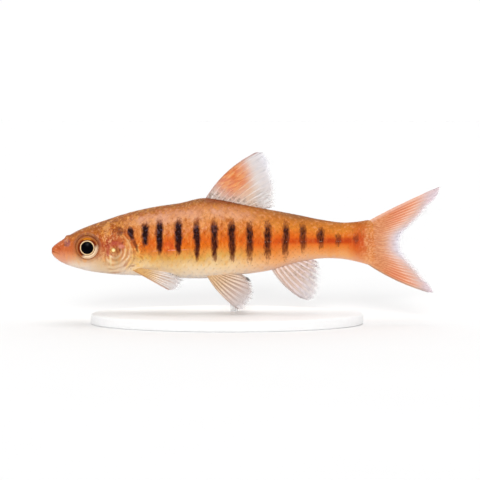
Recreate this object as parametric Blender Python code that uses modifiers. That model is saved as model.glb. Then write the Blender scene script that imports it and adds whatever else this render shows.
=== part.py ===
"""African banded barb: a still, life-size model of the fish, held over a flat base by one short rod.

Distances "behind" are measured along the fish from the tip of its snout, and heights from the level of that tip.
The snout points along -X, the back along +Z, and the fish's left side along -Y.
"""

import math

import bmesh
import bpy
import numpy as np
from mathutils import Vector

MM = 0.001
TOTAL_LENGTH = 60.0
SNOUT_HEIGHT = 11.35
GAP = 0.3

# Behind the snout, back, belly, half width.
BODY_STATIONS = (
    (0.00, -0.05, -0.05, 0.00),
    (0.17, 0.44, -0.72, 0.62),
    (0.87, 1.05, -1.44, 1.12),
    (2.17, 1.89, -2.18, 1.68),
    (3.70, 2.82, -2.70, 2.15),
    (5.83, 3.75, -3.25, 2.62),
    (8.58, 4.69, -3.62, 3.02),
    (11.94, 5.80, -3.89, 3.32),
    (15.76, 6.67, -4.14, 3.50),
    (19.88, 7.30, -4.35, 3.55),
    (23.54, 8.05, -4.40, 3.48),
    (25.98, 7.76, -4.17, 3.38),
    (29.50, 7.03, -3.79, 3.12),
    (33.31, 6.31, -3.24, 2.74),
    (37.89, 5.46, -1.92, 2.18),
    (41.71, 4.69, -1.34, 1.70),
    (44.92, 4.29, -1.45, 1.32),
    (47.05, 4.42, -1.87, 1.05),
    (48.58, 4.66, -2.28, 0.80),
)
HEAD_BACK_POWER = 2.35
TRUNK_BACK_POWER = 1.95
BELLY_POWER = 2.15
NARROW_BACK_BEHIND = 20.5
BODY_RINGS = 50
SNOUT_CLOSENESS = 1.15
RING_POINTS = 36

# The edge of the gill cover, top to bottom, and the front line of the cover, bottom to top.
GILL_EDGE = (
    (10.30, 9.60),
    (10.34, 5.50),
    (10.64, 3.36),
    (11.71, 2.21),
    (12.60, 0.76),
    (12.80, -0.61),
    (12.30, -1.98),
    (11.40, -3.05),
    (10.60, -6.00),
)
COVER_FRONT = ((10.11, -2.82), (8.89, -1.83), (8.35, -0.46), (8.50, 0.92), (9.19, 2.29), (10.30, 2.95))
COVER_TOP = 3.0
COVER_BOTTOM = -2.9
COVER_RAISED = 0.12
COVER_DEPTH = 0.9
COVER_INNER_SIDE = 1.3
COVER_MIDDLE = (10.4, 0.1)
POCKET_REACH = 1.2
TRUNK_END = 33.3

EYE_BEHIND = 5.74
EYE_LEVEL = 0.48
EYE_RADIUS = 1.80
EYE_HALF_THICKNESS = 0.75
EYE_SUNK = 0.38
ORBIT_RIM = 0.20

MOUTH_FRONT = (-1.0, 0.32)
MOUTH_CORNER = (1.75, -0.67)
JAW_HINGE_FOOT = (5.20, -3.80)
LIP_RADIUS = 0.24
LIP_POINTS = 21

NOSTRIL_BEHIND = 2.55
NOSTRIL_LEVEL = 1.45
NOSTRIL_RADIUS = 0.32
NOSTRIL_DEPTH = 0.45
NOSTRIL_SLOPE = 0.4

FIN_THICKNESS = 0.52
FIN_MARGIN_THICKNESS = 0.30
RAY_HEIGHT = 0.20
RAY_FOOT = 0.24
FIN_ROWS = 10
ROOT_BURIED = 0.7

# Where the back and anal fins rise from the body; the margins run from the leading ray's tip to the last one's.
DORSAL_ROOT = (23.75, 31.0)
DORSAL_MARGIN = ((31.60, 15.10), (32.55, 14.80), (33.15, 13.60), (33.65, 11.90), (34.23, 9.92), (34.69, 8.09),
                 (34.61, 6.75))
DORSAL_RAYS = 10
DORSAL_BOW = 0.068
DORSAL_ROOT_THICKNESS = 0.95
ANAL_ROOT = (33.74, 38.4)
ANAL_MARGIN = ((38.30, -7.25), (39.50, -7.50), (40.60, -6.90), (41.25, -5.40), (41.60, -3.82), (41.75, -2.60),
               (41.40, -1.90))
ANAL_RAYS = 8
ANAL_BOW = 0.07
ANAL_ROOT_THICKNESS = 0.85
# Levels of each tail lobe's root line, from its outer edge to the fork.
UPPER_ROOT_LEVELS = (4.55, 1.38)
UPPER_MARGIN = ((59.15, 9.80), (60.00, 9.50), (59.30, 8.37), (58.10, 6.56), (56.44, 4.63), (54.79, 2.98),
                (53.80, 1.95), (53.50, 1.40))
UPPER_BOW = 0.02
LOWER_ROOT_LEVELS = (-2.14, 1.06)
LOWER_MARGIN = ((57.70, -6.38), (58.70, -6.45), (58.25, -5.31), (57.25, -3.51), (56.03, -2.14), (54.50, -0.76),
                (53.80, 0.25), (53.50, 1.02))
LOWER_BOW = 0.04
TAIL_RAYS = 10
TAIL_ROOT_THICKNESS = 1.35
PELVIC_ROOT = ((23.92, -3.75), (25.55, -3.55))
PELVIC_MARGIN = ((28.60, -8.72), (29.90, -8.35), (30.80, -6.90), (31.00, -5.60), (30.50, -4.55), (29.55, -4.10))
PELVIC_RAYS = 9
PELVIC_BOW = 0.07
PELVIC_SIDE = 1.25
PELVIC_SPLAY = 0.42
PECTORAL_ROOT = ((12.35, -2.85), (13.30, -2.65))
PECTORAL_MARGIN = ((17.75, -5.60), (19.15, -5.50), (19.90, -4.85), (19.55, -4.05), (18.40, -3.35))
PECTORAL_RAYS = 10
PECTORAL_BOW = 0.0
PECTORAL_SPLAY = 0.42
PECTORAL_DROOP = 0.12
PECTORAL_BURIED = 0.35
PAIRED_ROOT_THICKNESS = 0.75

# The blocks that divide the body reach past it on every side.
BLOCK_FRONT = -3.0
BLOCK_LOW = -9.0
BLOCK_HIGH = 12.0
BLOCK_SIDE = 8.0

BASE_LENGTH = 42.0
BASE_WIDTH = 24.0
BASE_THICKNESS = 1.6
BASE_EDGE = 0.35
BASE_BEHIND = 27.0
BASE_SIDES = 72
ROD_RADIUS = 0.6
ROD_BEHIND = 28.1
ROD_SIDES = 24


def smooth_rows(rows, places):
    """The cubic curve through the rows, read at places from 0 at the first row to 1 at the last."""
    rows = np.array(rows, float)
    steps = np.linalg.norm(np.diff(rows, axis=0), axis=1)
    knots = np.concatenate([[0.0], np.cumsum(steps)])
    slopes = np.gradient(rows, knots, axis=0)
    at = np.clip(places, 0.0, 1.0) * knots[-1]
    cell = np.clip(np.searchsorted(knots, at, side="right") - 1, 0, len(steps) - 1)
    span = steps[cell][:, None]
    t = ((at - knots[cell]) / steps[cell])[:, None]
    start = (1 + 2 * t) * (1 - t) ** 2 * rows[cell] + t * (1 - t) ** 2 * span * slopes[cell]
    end = t**2 * (3 - 2 * t) * rows[cell + 1] + t**2 * (t - 1) * span * slopes[cell + 1]
    return start + end


def body_rows(count):
    """Smooth rows of the body; the power brings the first ones close, for a round snout."""
    places = np.linspace(0.0, 1.0, count)
    rows = smooth_rows(BODY_STATIONS, places**SNOUT_CLOSENESS)
    rows[:, 0] = np.maximum.accumulate(rows[:, 0])
    return rows


FINE_ROWS = body_rows(600)


def row_at(behind):
    """Back, belly and half width at a distance behind the snout."""
    return [np.interp(behind, FINE_ROWS[:, 0], FINE_ROWS[:, column]) for column in (1, 2, 3)]


def back_power(behind):
    """The squareness of the upper half: broad on the head, narrower along the back."""
    share = np.clip(behind / NARROW_BACK_BEHIND, 0.0, 1.0)
    return HEAD_BACK_POWER + (TRUNK_BACK_POWER - HEAD_BACK_POWER) * share


def half_width_at(behind, level):
    """How far the body's side stands from the middle plane at that place."""
    back, belly, width = row_at(behind)
    middle = (back + belly) / 2
    upper = level > middle
    reach = (back - middle) if upper else (middle - belly)
    power = back_power(behind) if upper else BELLY_POWER
    inside = max(0.0, 1.0 - (abs(level - middle) / max(reach, 1e-6)) ** power)
    return float(width * inside ** (1.0 / power))


def place(behind, side, level):
    """A point of the model's frame, in metres, from millimetres on the fish."""
    return Vector((behind - TOTAL_LENGTH / 2, side, level + SNOUT_HEIGHT)) * MM


def collection(name):
    made = bpy.data.collections.new(name)
    bpy.context.scene.collection.children.link(made)
    return made


def add_mesh(name, vertices, faces, group):
    """A closed mesh object with its faces turned outwards."""
    mesh = bpy.data.meshes.new(name)
    mesh.from_pydata([tuple(v) for v in vertices], [], faces)
    shape = bmesh.new()
    shape.from_mesh(mesh)
    bmesh.ops.recalc_face_normals(shape, faces=shape.faces)
    shape.to_mesh(mesh)
    shape.free()
    made = bpy.data.objects.new(name, mesh)
    group.objects.link(made)
    return made


def adopt(name, group):
    """Names the object that a primitive operator has just added, and moves it to the group."""
    made = bpy.context.active_object
    made.name = name
    made.data.name = name
    for holder in list(made.users_collection):
        holder.objects.unlink(made)
    group.objects.link(made)
    return made


def apply_transform(piece):
    piece.data.transform(piece.matrix_basis)
    piece.matrix_basis.identity()


def settle(piece):
    """Replaces the object's mesh by what its modifiers make of it, welded."""
    graph = bpy.context.evaluated_depsgraph_get()
    mesh = bpy.data.meshes.new_from_object(piece.evaluated_get(graph))
    piece.modifiers.clear()
    piece.data = mesh
    shape = bmesh.new()
    shape.from_mesh(mesh)
    bmesh.ops.remove_doubles(shape, verts=shape.verts, dist=1e-6)
    shape.to_mesh(mesh)
    shape.free()


def combine(piece, other, operation):
    """Cuts, keeps or joins piece by another mesh, which is then removed."""
    change = piece.modifiers.new(operation.title(), "BOOLEAN")
    change.operation = operation
    change.solver = "EXACT"
    change.object = other
    settle(piece)
    bpy.data.objects.remove(other)


def unite(piece, group):
    """Joins every object of the group to piece, one after another."""
    for other in list(group.objects):
        combine(piece, other, "UNION")


def keep_largest(piece):
    """Drops everything but the largest closed surface."""
    shape = bmesh.new()
    shape.from_mesh(piece.data)
    shells, waiting = [], set(shape.faces)
    while waiting:
        front = [waiting.pop()]
        shell = []
        while front:
            face = front.pop()
            shell.append(face)
            for edge in face.edges:
                for beside in edge.link_faces:
                    if beside in waiting:
                        waiting.remove(beside)
                        front.append(beside)
        shells.append(shell)
    shells.sort(key=lambda shell: sum(face.calc_area() for face in shell))
    for shell in shells[:-1]:
        bmesh.ops.delete(shape, geom=shell, context="FACES")
    shape.to_mesh(piece.data)
    shape.free()


def body_loft(name, group, grow=0.0):
    """The whole body as one closed loft, swollen by grow millimetres."""
    rows = body_rows(BODY_RINGS)
    rows = rows[rows[:, 0] > max(0.0, -grow)]
    angles = 2 * math.pi * np.arange(RING_POINTS) / RING_POINTS
    sine, cosine = np.sin(angles), np.cos(angles)
    vertices = [place(-grow, 0.0, 0.0)]
    for behind, back, belly, width in rows:
        middle = (back + belly) / 2
        power = np.where(cosine > 0, back_power(behind), BELLY_POWER)
        reach = np.maximum(np.where(cosine > 0, back - middle, middle - belly) + grow, GAP)
        side = max(width + grow, GAP) * np.sign(sine) * np.abs(sine) ** (2 / power)
        level = middle + reach * np.sign(cosine) * np.abs(cosine) ** (2 / power)
        end = grow if behind == rows[-1, 0] else 0.0
        vertices += [place(behind + end, y, z) for y, z in zip(side, level)]
    faces = []
    for k in range(RING_POINTS):
        after = (k + 1) % RING_POINTS
        faces.append((0, 1 + k, 1 + after))
        for ring in range(len(rows) - 1):
            a = 1 + ring * RING_POINTS
            b = a + RING_POINTS
            faces.append((a + k, b + k, b + after, a + after))
    last = 1 + (len(rows) - 1) * RING_POINTS
    faces.append(tuple(range(last, last + RING_POINTS)))
    return add_mesh(name, vertices, faces, group)


def prism(name, outline, low, high, group):
    """A side-view outline in millimetres, carried across the fish from low to high."""
    curve = bpy.data.curves.new(name, "CURVE")
    curve.dimensions = "2D"
    curve.fill_mode = "BOTH"
    curve.extrude = (high - low) / 2 * MM
    spline = curve.splines.new("POLY")
    spline.points.add(len(outline) - 1)
    for point, (behind, level) in zip(spline.points, outline):
        x, _, z = place(behind, 0.0, level)
        point.co = (x, z, 0.0, 1.0)
    spline.use_cyclic_u = True
    drawn = bpy.data.objects.new(name + "_outline", curve)
    drawn.location = (0.0, (low + high) / 2 * MM, 0.0)
    drawn.rotation_euler = (math.pi / 2, 0.0, 0.0)
    group.objects.link(drawn)
    bpy.context.view_layer.update()
    graph = bpy.context.evaluated_depsgraph_get()
    mesh = bpy.data.meshes.new_from_object(drawn.evaluated_get(graph))
    mesh.transform(drawn.matrix_world)
    shape = bmesh.new()
    shape.from_mesh(mesh)
    bmesh.ops.remove_doubles(shape, verts=shape.verts, dist=1e-6)
    bmesh.ops.recalc_face_normals(shape, faces=shape.faces)
    shape.to_mesh(mesh)
    shape.free()
    bpy.data.objects.remove(drawn)
    made = bpy.data.objects.new(name, mesh)
    group.objects.link(made)
    return made


def block(name, front, rear, group):
    """A block wider and taller than the body, from front to rear."""
    outline = [(front, BLOCK_LOW), (rear, BLOCK_LOW), (rear, BLOCK_HIGH), (front, BLOCK_HIGH)]
    return prism(name, outline, -BLOCK_SIDE, BLOCK_SIDE, group)


def tube(name, path, radii, group, sides=8):
    """A tapered round bar along a path of frame points, closed at both ends."""
    path = [Vector(p) for p in path]
    vertices, faces = [], []
    for i, centre in enumerate(path):
        ahead = path[min(i + 1, len(path) - 1)] - path[max(i - 1, 0)]
        turn = ahead.to_track_quat("Z", "Y")
        for k in range(sides):
            angle = 2 * math.pi * k / sides
            spoke = Vector((math.cos(angle), math.sin(angle), 0.0)) * radii[i] * MM
            vertices.append(centre + turn @ spoke)
    for i in range(len(path) - 1):
        for k in range(sides):
            after = (k + 1) % sides
            a, b = i * sides, (i + 1) * sides
            faces.append((a + k, a + after, b + after, b + k))
    faces.append(tuple(range(sides)))
    faces.append(tuple(range(len(vertices) - sides, len(vertices))))
    return add_mesh(name, vertices, faces, group)


def gill_outline(shift):
    """The region in front of the gill edge, shifted back by shift millimetres."""
    edge = smooth_rows(GILL_EDGE, np.linspace(0.0, 1.0, 33))
    outline = [(behind + shift, level) for behind, level in edge]
    return outline + [(BLOCK_FRONT, GILL_EDGE[-1][1]), (BLOCK_FRONT, GILL_EDGE[0][1])]


def cover_outline(swell):
    """The gill cover's outline; swell opens its front line and carries its edge past the head's end."""
    edge = smooth_rows(GILL_EDGE, np.linspace(0.0, 1.0, 65))
    past = POCKET_REACH if swell else 0.0
    rear = [(b + past, z) for b, z in edge if COVER_BOTTOM - swell < z < COVER_TOP + swell]
    front = smooth_rows(COVER_FRONT, np.linspace(0.0, 1.0, 17))
    forward = []
    for behind, level in front:
        away = Vector((behind - COVER_MIDDLE[0], level - COVER_MIDDLE[1])).normalized() * swell
        forward.append((behind + away.x, level + away.y))
    return rear + forward


def eye_centre(side):
    head_side = half_width_at(EYE_BEHIND, EYE_LEVEL)
    return place(EYE_BEHIND, side * (head_side - EYE_SUNK), EYE_LEVEL)


def eye_ball(name, side, swell, group):
    bpy.ops.mesh.primitive_uv_sphere_add(segments=28, ring_count=14, radius=1.0, location=eye_centre(side))
    ball = adopt(name, group)
    ball.rotation_euler = (math.pi / 2, 0.0, 0.0)
    across = (EYE_RADIUS + swell) * MM
    ball.scale = (across, across, (EYE_HALF_THICKNESS + swell) * MM)
    bpy.context.view_layer.update()
    apply_transform(ball)
    return ball


def orbit_rim(side, group):
    """The raised fold of skin round the eye."""
    rim = (EYE_RADIUS + GAP) * 0.93
    bpy.ops.mesh.primitive_torus_add(
        major_segments=28,
        minor_segments=8,
        major_radius=rim * MM,
        minor_radius=ORBIT_RIM * MM,
        rotation=(math.pi / 2, 0.0, 0.0),
    )
    ring = adopt("orbit_rim", group)
    bpy.context.view_layer.update()
    apply_transform(ring)
    for vertex in ring.data.vertices:
        behind = EYE_BEHIND + vertex.co.x / MM
        level = EYE_LEVEL + vertex.co.z / MM
        skin = half_width_at(behind, level) - 0.05
        vertex.co = place(behind, side * (skin + vertex.co.y / MM), level)
    recalculate(ring)


def recalculate(piece):
    shape = bmesh.new()
    shape.from_mesh(piece.data)
    bmesh.ops.recalc_face_normals(shape, faces=shape.faces)
    shape.to_mesh(piece.data)
    shape.free()


def lip(name, drop, group):
    """A round lip that follows the mouth's line round the snout, drop millimetres below it."""
    slope = (MOUTH_CORNER[1] - MOUTH_FRONT[1]) / (MOUTH_CORNER[0] - MOUTH_FRONT[0])
    side_line = []
    for behind in np.linspace(0.0, MOUTH_CORNER[0], 60):
        level = MOUTH_CORNER[1] + slope * (behind - MOUTH_CORNER[0]) - drop
        width = half_width_at(behind, level)
        if width > LIP_RADIUS:
            side_line.append((behind + 0.5 * LIP_RADIUS, width - 0.5 * LIP_RADIUS, level))
    front = (side_line[0][0] - 0.5 * LIP_RADIUS, 0.0, side_line[0][2])
    other_side = [(behind, -width, level) for behind, width, level in reversed(side_line)]
    path = smooth_rows([*other_side, front, *side_line], np.linspace(0.0, 1.0, LIP_POINTS))
    ends = np.abs(np.linspace(-1.0, 1.0, LIP_POINTS))
    radii = LIP_RADIUS * (1.0 - 0.45 * ends**4)
    return tube(name, [place(*point) for point in path], radii, group)


def nostril_pit(side, group):
    """A short oval bar that opens the nostril."""
    inner = half_width_at(NOSTRIL_BEHIND, NOSTRIL_LEVEL)
    start = place(NOSTRIL_BEHIND, side * (inner - NOSTRIL_DEPTH), NOSTRIL_LEVEL - NOSTRIL_SLOPE)
    end = place(NOSTRIL_BEHIND, side * (inner + NOSTRIL_DEPTH), NOSTRIL_LEVEL + NOSTRIL_SLOPE)
    return tube("nostril_pit", (start, end), (NOSTRIL_RADIUS, NOSTRIL_RADIUS), group, sides=10)


def nostril_flap(side, group):
    """The small raised flap of skin on the nostril's front edge."""
    path, radii = [], []
    for k in range(7):
        angle = math.pi * (0.15 + 0.7 * k / 6)
        behind = NOSTRIL_BEHIND - 0.42 * math.sin(angle)
        level = NOSTRIL_LEVEL - 0.45 * math.cos(angle)
        path.append(place(behind, side * (half_width_at(behind, level) + 0.02), level))
        radii.append(0.10 + 0.12 * math.sin(angle))
    return tube("nostril_flap", path, radii, group, sides=6)


def jaw_outline(inset):
    """The lower jaw in side view, its mouth line and its rear line drawn back by inset."""
    rise = Vector((MOUTH_CORNER[0] - MOUTH_FRONT[0], MOUTH_CORNER[1] - MOUTH_FRONT[1])).normalized()
    fall = Vector((JAW_HINGE_FOOT[0] - MOUTH_CORNER[0], JAW_HINGE_FOOT[1] - MOUTH_CORNER[1])).normalized()
    under = Vector((rise.y, -rise.x)) * inset
    ahead = Vector((fall.y, -fall.x)) * inset
    front = Vector(MOUTH_FRONT) + under
    corner = Vector(MOUTH_CORNER) + under + ahead
    foot = Vector(JAW_HINGE_FOOT) + ahead
    return [tuple(front), tuple(corner), tuple(foot), (MOUTH_FRONT[0], JAW_HINGE_FOOT[1])]


def build_head(parts, work):
    """The head with its orbit rims, lips and nostrils, and the lower jaw cut from its underside."""
    head = body_loft("head", parts)
    combine(head, prism("front_half", gill_outline(0.0), -BLOCK_SIDE, BLOCK_SIDE, work), "INTERSECT")
    for side in (-1, 1):
        orbit_rim(side, work)
        nostril_flap(side, work)
    lip("upper_lip", -LIP_RADIUS * 0.7, work)
    unite(head, work)
    for side in (-1, 1):
        combine(head, eye_ball("socket", side, GAP, work), "DIFFERENCE")
        combine(head, nostril_pit(side, work), "DIFFERENCE")
    combine(head, prism("jaw_space", jaw_outline(0.0), -BLOCK_SIDE, BLOCK_SIDE, work), "DIFFERENCE")
    for side in (-1, 1):
        low, high = sorted((side * (COVER_INNER_SIDE - GAP), side * BLOCK_SIDE))
        pocket = prism("pocket", cover_outline(GAP), low, high, work)
        combine(pocket, body_loft("cheek", work, -COVER_DEPTH - GAP), "DIFFERENCE")
        combine(head, pocket, "DIFFERENCE")
    keep_largest(head)
    jaw = body_loft("lower_jaw", parts)
    lip("lower_lip", GAP + LIP_RADIUS * 0.8, work)
    unite(jaw, work)
    combine(jaw, prism("jaw_block", jaw_outline(GAP), -BLOCK_SIDE, BLOCK_SIDE, work), "INTERSECT")
    keep_largest(jaw)
    return head, jaw


def build_gill_cover(name, side, parts, work):
    """A thin plate that stands a little proud of the cheek."""
    low, high = sorted((side * COVER_INNER_SIDE, side * BLOCK_SIDE))
    cover = prism(name, cover_outline(0.0), low, high, parts)
    combine(cover, body_loft("outside", work, COVER_RAISED), "INTERSECT")
    combine(cover, body_loft("inside", work, -COVER_DEPTH), "DIFFERENCE")
    keep_largest(cover)
    return cover


def build_trunk(parts, work):
    trunk = body_loft("trunk", parts)
    combine(trunk, prism("head_space", gill_outline(GAP * 1.25), -BLOCK_SIDE, BLOCK_SIDE, work), "DIFFERENCE")
    combine(trunk, block("tail_space", TRUNK_END, TOTAL_LENGTH, work), "DIFFERENCE")
    keep_largest(trunk)
    return trunk


def build_tail_stem(parts, work):
    stem = body_loft("tail_stem", parts)
    combine(stem, block("trunk_space", BLOCK_FRONT, TRUNK_END + GAP, work), "DIFFERENCE")
    keep_largest(stem)
    return stem


def ray_columns(rays):
    """Places across a fin, and how much of a ray's ridge stands at each: its crest and its two feet."""
    step = 1.0 / (rays - 1)
    places, ridge = [], []
    for ray in range(rays):
        for offset, height in ((-RAY_FOOT, 0.0), (0.0, 1.0), (RAY_FOOT, 0.0)):
            at = (ray + offset) * step
            if -1e-9 <= at <= 1 + 1e-9:
                places.append(min(max(at, 0.0), 1.0))
                ridge.append(height)
    return np.array(places), np.array(ridge)


def fin(name, group, root, tip, rays, bow, root_thickness, spread=None):
    """A fin: rays run from the root line to the margin, each bowed towards the leading edge.

    root and tip are side-view points from the leading ray to the last one, and bow is the leading ray's
    bulge as a share of its length. spread gives the distance from the middle plane at a place on the fin."""
    across, ridge = ray_columns(rays)
    roots, tips = smooth_rows(root, across), smooth_rows(tip, across)
    along = np.linspace(0.0, 1.0, FIN_ROWS)
    chord = tips - roots
    normal = np.stack([-chord[:, 1], chord[:, 0]], axis=1)
    lead = np.sign(np.sum(normal[0] * (roots[0] - roots[-1])))
    control = (roots + tips) / 2 + lead * normal * (2 * bow * (1 - across))[:, None]
    t = along[None, :, None]
    flat = (1 - t) ** 2 * roots[:, None] + 2 * t * (1 - t) * control[:, None] + t**2 * tips[:, None]
    side = np.zeros(flat.shape[:2]) if spread is None else spread(flat[..., 0], flat[..., 1])
    centre = np.stack([flat[..., 0], side, flat[..., 1]], axis=2)
    facing = np.cross(np.gradient(centre, axis=0), np.gradient(centre, axis=1))
    facing /= np.linalg.norm(facing, axis=2, keepdims=True)
    near_root = np.clip(1 - along / 0.3, 0.0, 1.0) ** 2
    near_margin = np.clip((along - 0.75) / 0.25, 0.0, 1.0) ** 2
    web = FIN_THICKNESS + (root_thickness - FIN_THICKNESS) * near_root
    web = web + (FIN_MARGIN_THICKNESS - FIN_THICKNESS) * near_margin
    pitch = np.linalg.norm(centre[0] - centre[-1], axis=1) / (rays - 1)
    crest = np.minimum(2 * RAY_HEIGHT * (1 - 0.75 * along), 0.45 * pitch)
    half = (web[None, :] + ridge[:, None] * crest[None, :]) / 2
    columns = len(across)
    vertices = []
    for sign in (1, -1):
        shell = centre + sign * facing * half[..., None]
        vertices += [place(*point) for point in shell.reshape(-1, 3)]
    count = columns * FIN_ROWS
    faces = []
    for i in range(columns - 1):
        for j in range(FIN_ROWS - 1):
            a = i * FIN_ROWS + j
            b, c, d = a + FIN_ROWS, a + FIN_ROWS + 1, a + 1
            faces += [(a, b, c), (a, c, d)]
            faces += [(a + count, c + count, b + count), (a + count, d + count, c + count)]
    rim = [i * FIN_ROWS for i in range(columns)]
    rim += [(columns - 1) * FIN_ROWS + j for j in range(1, FIN_ROWS)]
    rim += [i * FIN_ROWS + FIN_ROWS - 1 for i in range(columns - 2, -1, -1)]
    rim += list(range(FIN_ROWS - 2, 0, -1))
    for a, b in zip(rim, rim[1:] + rim[:1]):
        faces += [(a, a + count, b + count), (a, b + count, b)]
    return add_mesh(name, vertices, faces, group)


def rooted(piece, work):
    """Cuts the buried root off along the body's own surface, with the gap between them."""
    combine(piece, body_loft("skin_gap", work, GAP), "DIFFERENCE")
    keep_largest(piece)
    return piece


def on_body(reach, column, inwards):
    """Root points of a fin along the body's back (column 0) or belly (column 1), moved by inwards."""
    return [(behind, row_at(behind)[column] + inwards) for behind in np.linspace(*reach, 7)]


def build_middle_fins(parts, work):
    """Back fin, anal fin and the two lobes of the tail fin."""
    start = BODY_STATIONS[-1][0] + GAP
    back_root, belly_root = on_body(DORSAL_ROOT, 0, -ROOT_BURIED), on_body(ANAL_ROOT, 1, ROOT_BURIED)
    dorsal = fin("dorsal_fin", parts, back_root, DORSAL_MARGIN, DORSAL_RAYS, DORSAL_BOW, DORSAL_ROOT_THICKNESS)
    anal = fin("anal_fin", parts, belly_root, ANAL_MARGIN, ANAL_RAYS, ANAL_BOW, ANAL_ROOT_THICKNESS)
    lobes = []
    for name, levels, margin, bow in (
        ("tail_fin_upper", UPPER_ROOT_LEVELS, UPPER_MARGIN, UPPER_BOW),
        ("tail_fin_lower", LOWER_ROOT_LEVELS, LOWER_MARGIN, LOWER_BOW),
    ):
        root = [(start, level) for level in levels]
        lobes.append(fin(name, parts, root, margin, TAIL_RAYS, bow, TAIL_ROOT_THICKNESS))
    return [rooted(dorsal, work), rooted(anal, work), *lobes]


def pelvic_spread(side):
    def spread(behind, level):
        return side * (PELVIC_SIDE + PELVIC_SPLAY * np.maximum(PELVIC_ROOT[0][1] - level, 0.0))

    return spread


def pectoral_spread(side):
    start = half_width_at(PECTORAL_ROOT[0][0], PECTORAL_ROOT[0][1]) - PECTORAL_BURIED

    def spread(behind, level):
        back = behind - PECTORAL_ROOT[0][0]
        below = PECTORAL_ROOT[0][1] - level
        return side * (start + PECTORAL_SPLAY * back + PECTORAL_DROOP * below)

    return spread


def build_paired_fins(parts, work):
    made = []
    for word, side in (("left", -1), ("right", 1)):
        for kind, root, margin, rays, bow, spread in (
            ("pelvic_fin_", PELVIC_ROOT, PELVIC_MARGIN, PELVIC_RAYS, PELVIC_BOW, pelvic_spread(side)),
            ("pectoral_fin_", PECTORAL_ROOT, PECTORAL_MARGIN, PECTORAL_RAYS, PECTORAL_BOW, pectoral_spread(side)),
        ):
            piece = fin(kind + word, parts, root, margin, rays, bow, PAIRED_ROOT_THICKNESS, spread)
            made.append(rooted(piece, work))
    return made


def build_stand(parts):
    bpy.ops.mesh.primitive_cylinder_add(
        vertices=BASE_SIDES, radius=0.5, depth=BASE_THICKNESS * MM, location=(0.0, 0.0, BASE_THICKNESS / 2 * MM)
    )
    base = adopt("stand_base", parts)
    base.location.x = (BASE_BEHIND - TOTAL_LENGTH / 2) * MM
    base.scale = (BASE_LENGTH * MM, BASE_WIDTH * MM, 1.0)
    bpy.context.view_layer.update()
    apply_transform(base)
    edge = base.modifiers.new("Edge", "BEVEL")
    edge.width = BASE_EDGE * MM
    edge.segments = 2
    edge.limit_method = "ANGLE"
    foot = (BASE_THICKNESS + GAP) * MM
    top = place(0.0, 0.0, row_at(ROD_BEHIND)[1] - GAP).z
    bpy.ops.mesh.primitive_cylinder_add(vertices=ROD_SIDES, radius=ROD_RADIUS * MM, depth=top - foot)
    rod = adopt("stand_rod", parts)
    rod.location = ((ROD_BEHIND - TOTAL_LENGTH / 2) * MM, 0.0, (foot + top) / 2)
    return base, rod


def finish(name, colour, roughness, metallic, pieces):
    """Gives pieces one material and shades them smooth."""
    material = bpy.data.materials.new(name)
    material.use_nodes = True
    shader = material.node_tree.nodes["Principled BSDF"]
    shader.inputs["Base Color"].default_value = (*colour, 1.0)
    shader.inputs["Roughness"].default_value = roughness
    shader.inputs["Metallic"].default_value = metallic
    for piece in pieces:
        piece.data.materials.clear()
        piece.data.materials.append(material)
        piece.data.shade_smooth()
        piece.data.set_sharp_from_angle(angle=math.radians(35))


def main():
    for old in list(bpy.data.objects):
        bpy.data.objects.remove(old)
    parts, work = collection("banded_barb"), collection("cutters")
    head, jaw = build_head(parts, work)
    covers = [build_gill_cover("gill_cover_" + word, side, parts, work) for word, side in (("left", -1), ("right", 1))]
    flesh = [head, jaw, build_trunk(parts, work), build_tail_stem(parts, work)]
    eyes = [eye_ball("eye_" + word, side, 0.0, parts) for word, side in (("left", -1), ("right", 1))]
    middle_fins = build_middle_fins(parts, work)
    paired_fins = build_paired_fins(parts, work)
    base, rod = build_stand(parts)
    finish("skin", (0.76, 0.30, 0.07), 0.4, 0.0, flesh)
    finish("gill_cover", (0.72, 0.34, 0.14), 0.35, 0.0, covers)
    finish("eye", (0.30, 0.16, 0.04), 0.1, 0.0, eyes)
    finish("fin", (0.86, 0.52, 0.34), 0.45, 0.0, [*middle_fins, *paired_fins])
    finish("stand_white", (0.85, 0.85, 0.84), 0.5, 0.0, [base])
    finish("stand_clear", (0.80, 0.82, 0.83), 0.1, 0.0, [rod])


main()
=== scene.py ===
"""The look of the African banded barb: scaled skin, ringed eyes, rayed fins, stand, floor, light and camera.

Sizes are in millimetres on the fish until a mesh is made. "Behind" is the distance from the tip of the snout,
and "level" the height above that tip. The snout points along -X and the fish's left side along -Y.
"""

import math

import bpy
import numpy as np
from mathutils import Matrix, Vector


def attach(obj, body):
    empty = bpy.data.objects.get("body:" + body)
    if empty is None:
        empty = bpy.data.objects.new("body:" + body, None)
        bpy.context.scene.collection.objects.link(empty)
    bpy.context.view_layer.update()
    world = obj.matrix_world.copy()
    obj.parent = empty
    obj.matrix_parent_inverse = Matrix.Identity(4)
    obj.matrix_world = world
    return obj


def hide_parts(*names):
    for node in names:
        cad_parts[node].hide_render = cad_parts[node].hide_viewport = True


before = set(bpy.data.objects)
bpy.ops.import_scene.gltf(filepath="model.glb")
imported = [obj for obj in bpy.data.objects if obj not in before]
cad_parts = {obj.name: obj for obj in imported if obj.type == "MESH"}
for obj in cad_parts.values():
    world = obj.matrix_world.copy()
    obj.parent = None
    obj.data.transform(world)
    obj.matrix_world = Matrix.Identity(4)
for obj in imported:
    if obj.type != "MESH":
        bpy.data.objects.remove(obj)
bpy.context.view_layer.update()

MM = 0.001
TOTAL_LENGTH = 60.0
SNOUT_HEIGHT = 11.35
SIDES = (("left", -1), ("right", 1))

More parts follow.
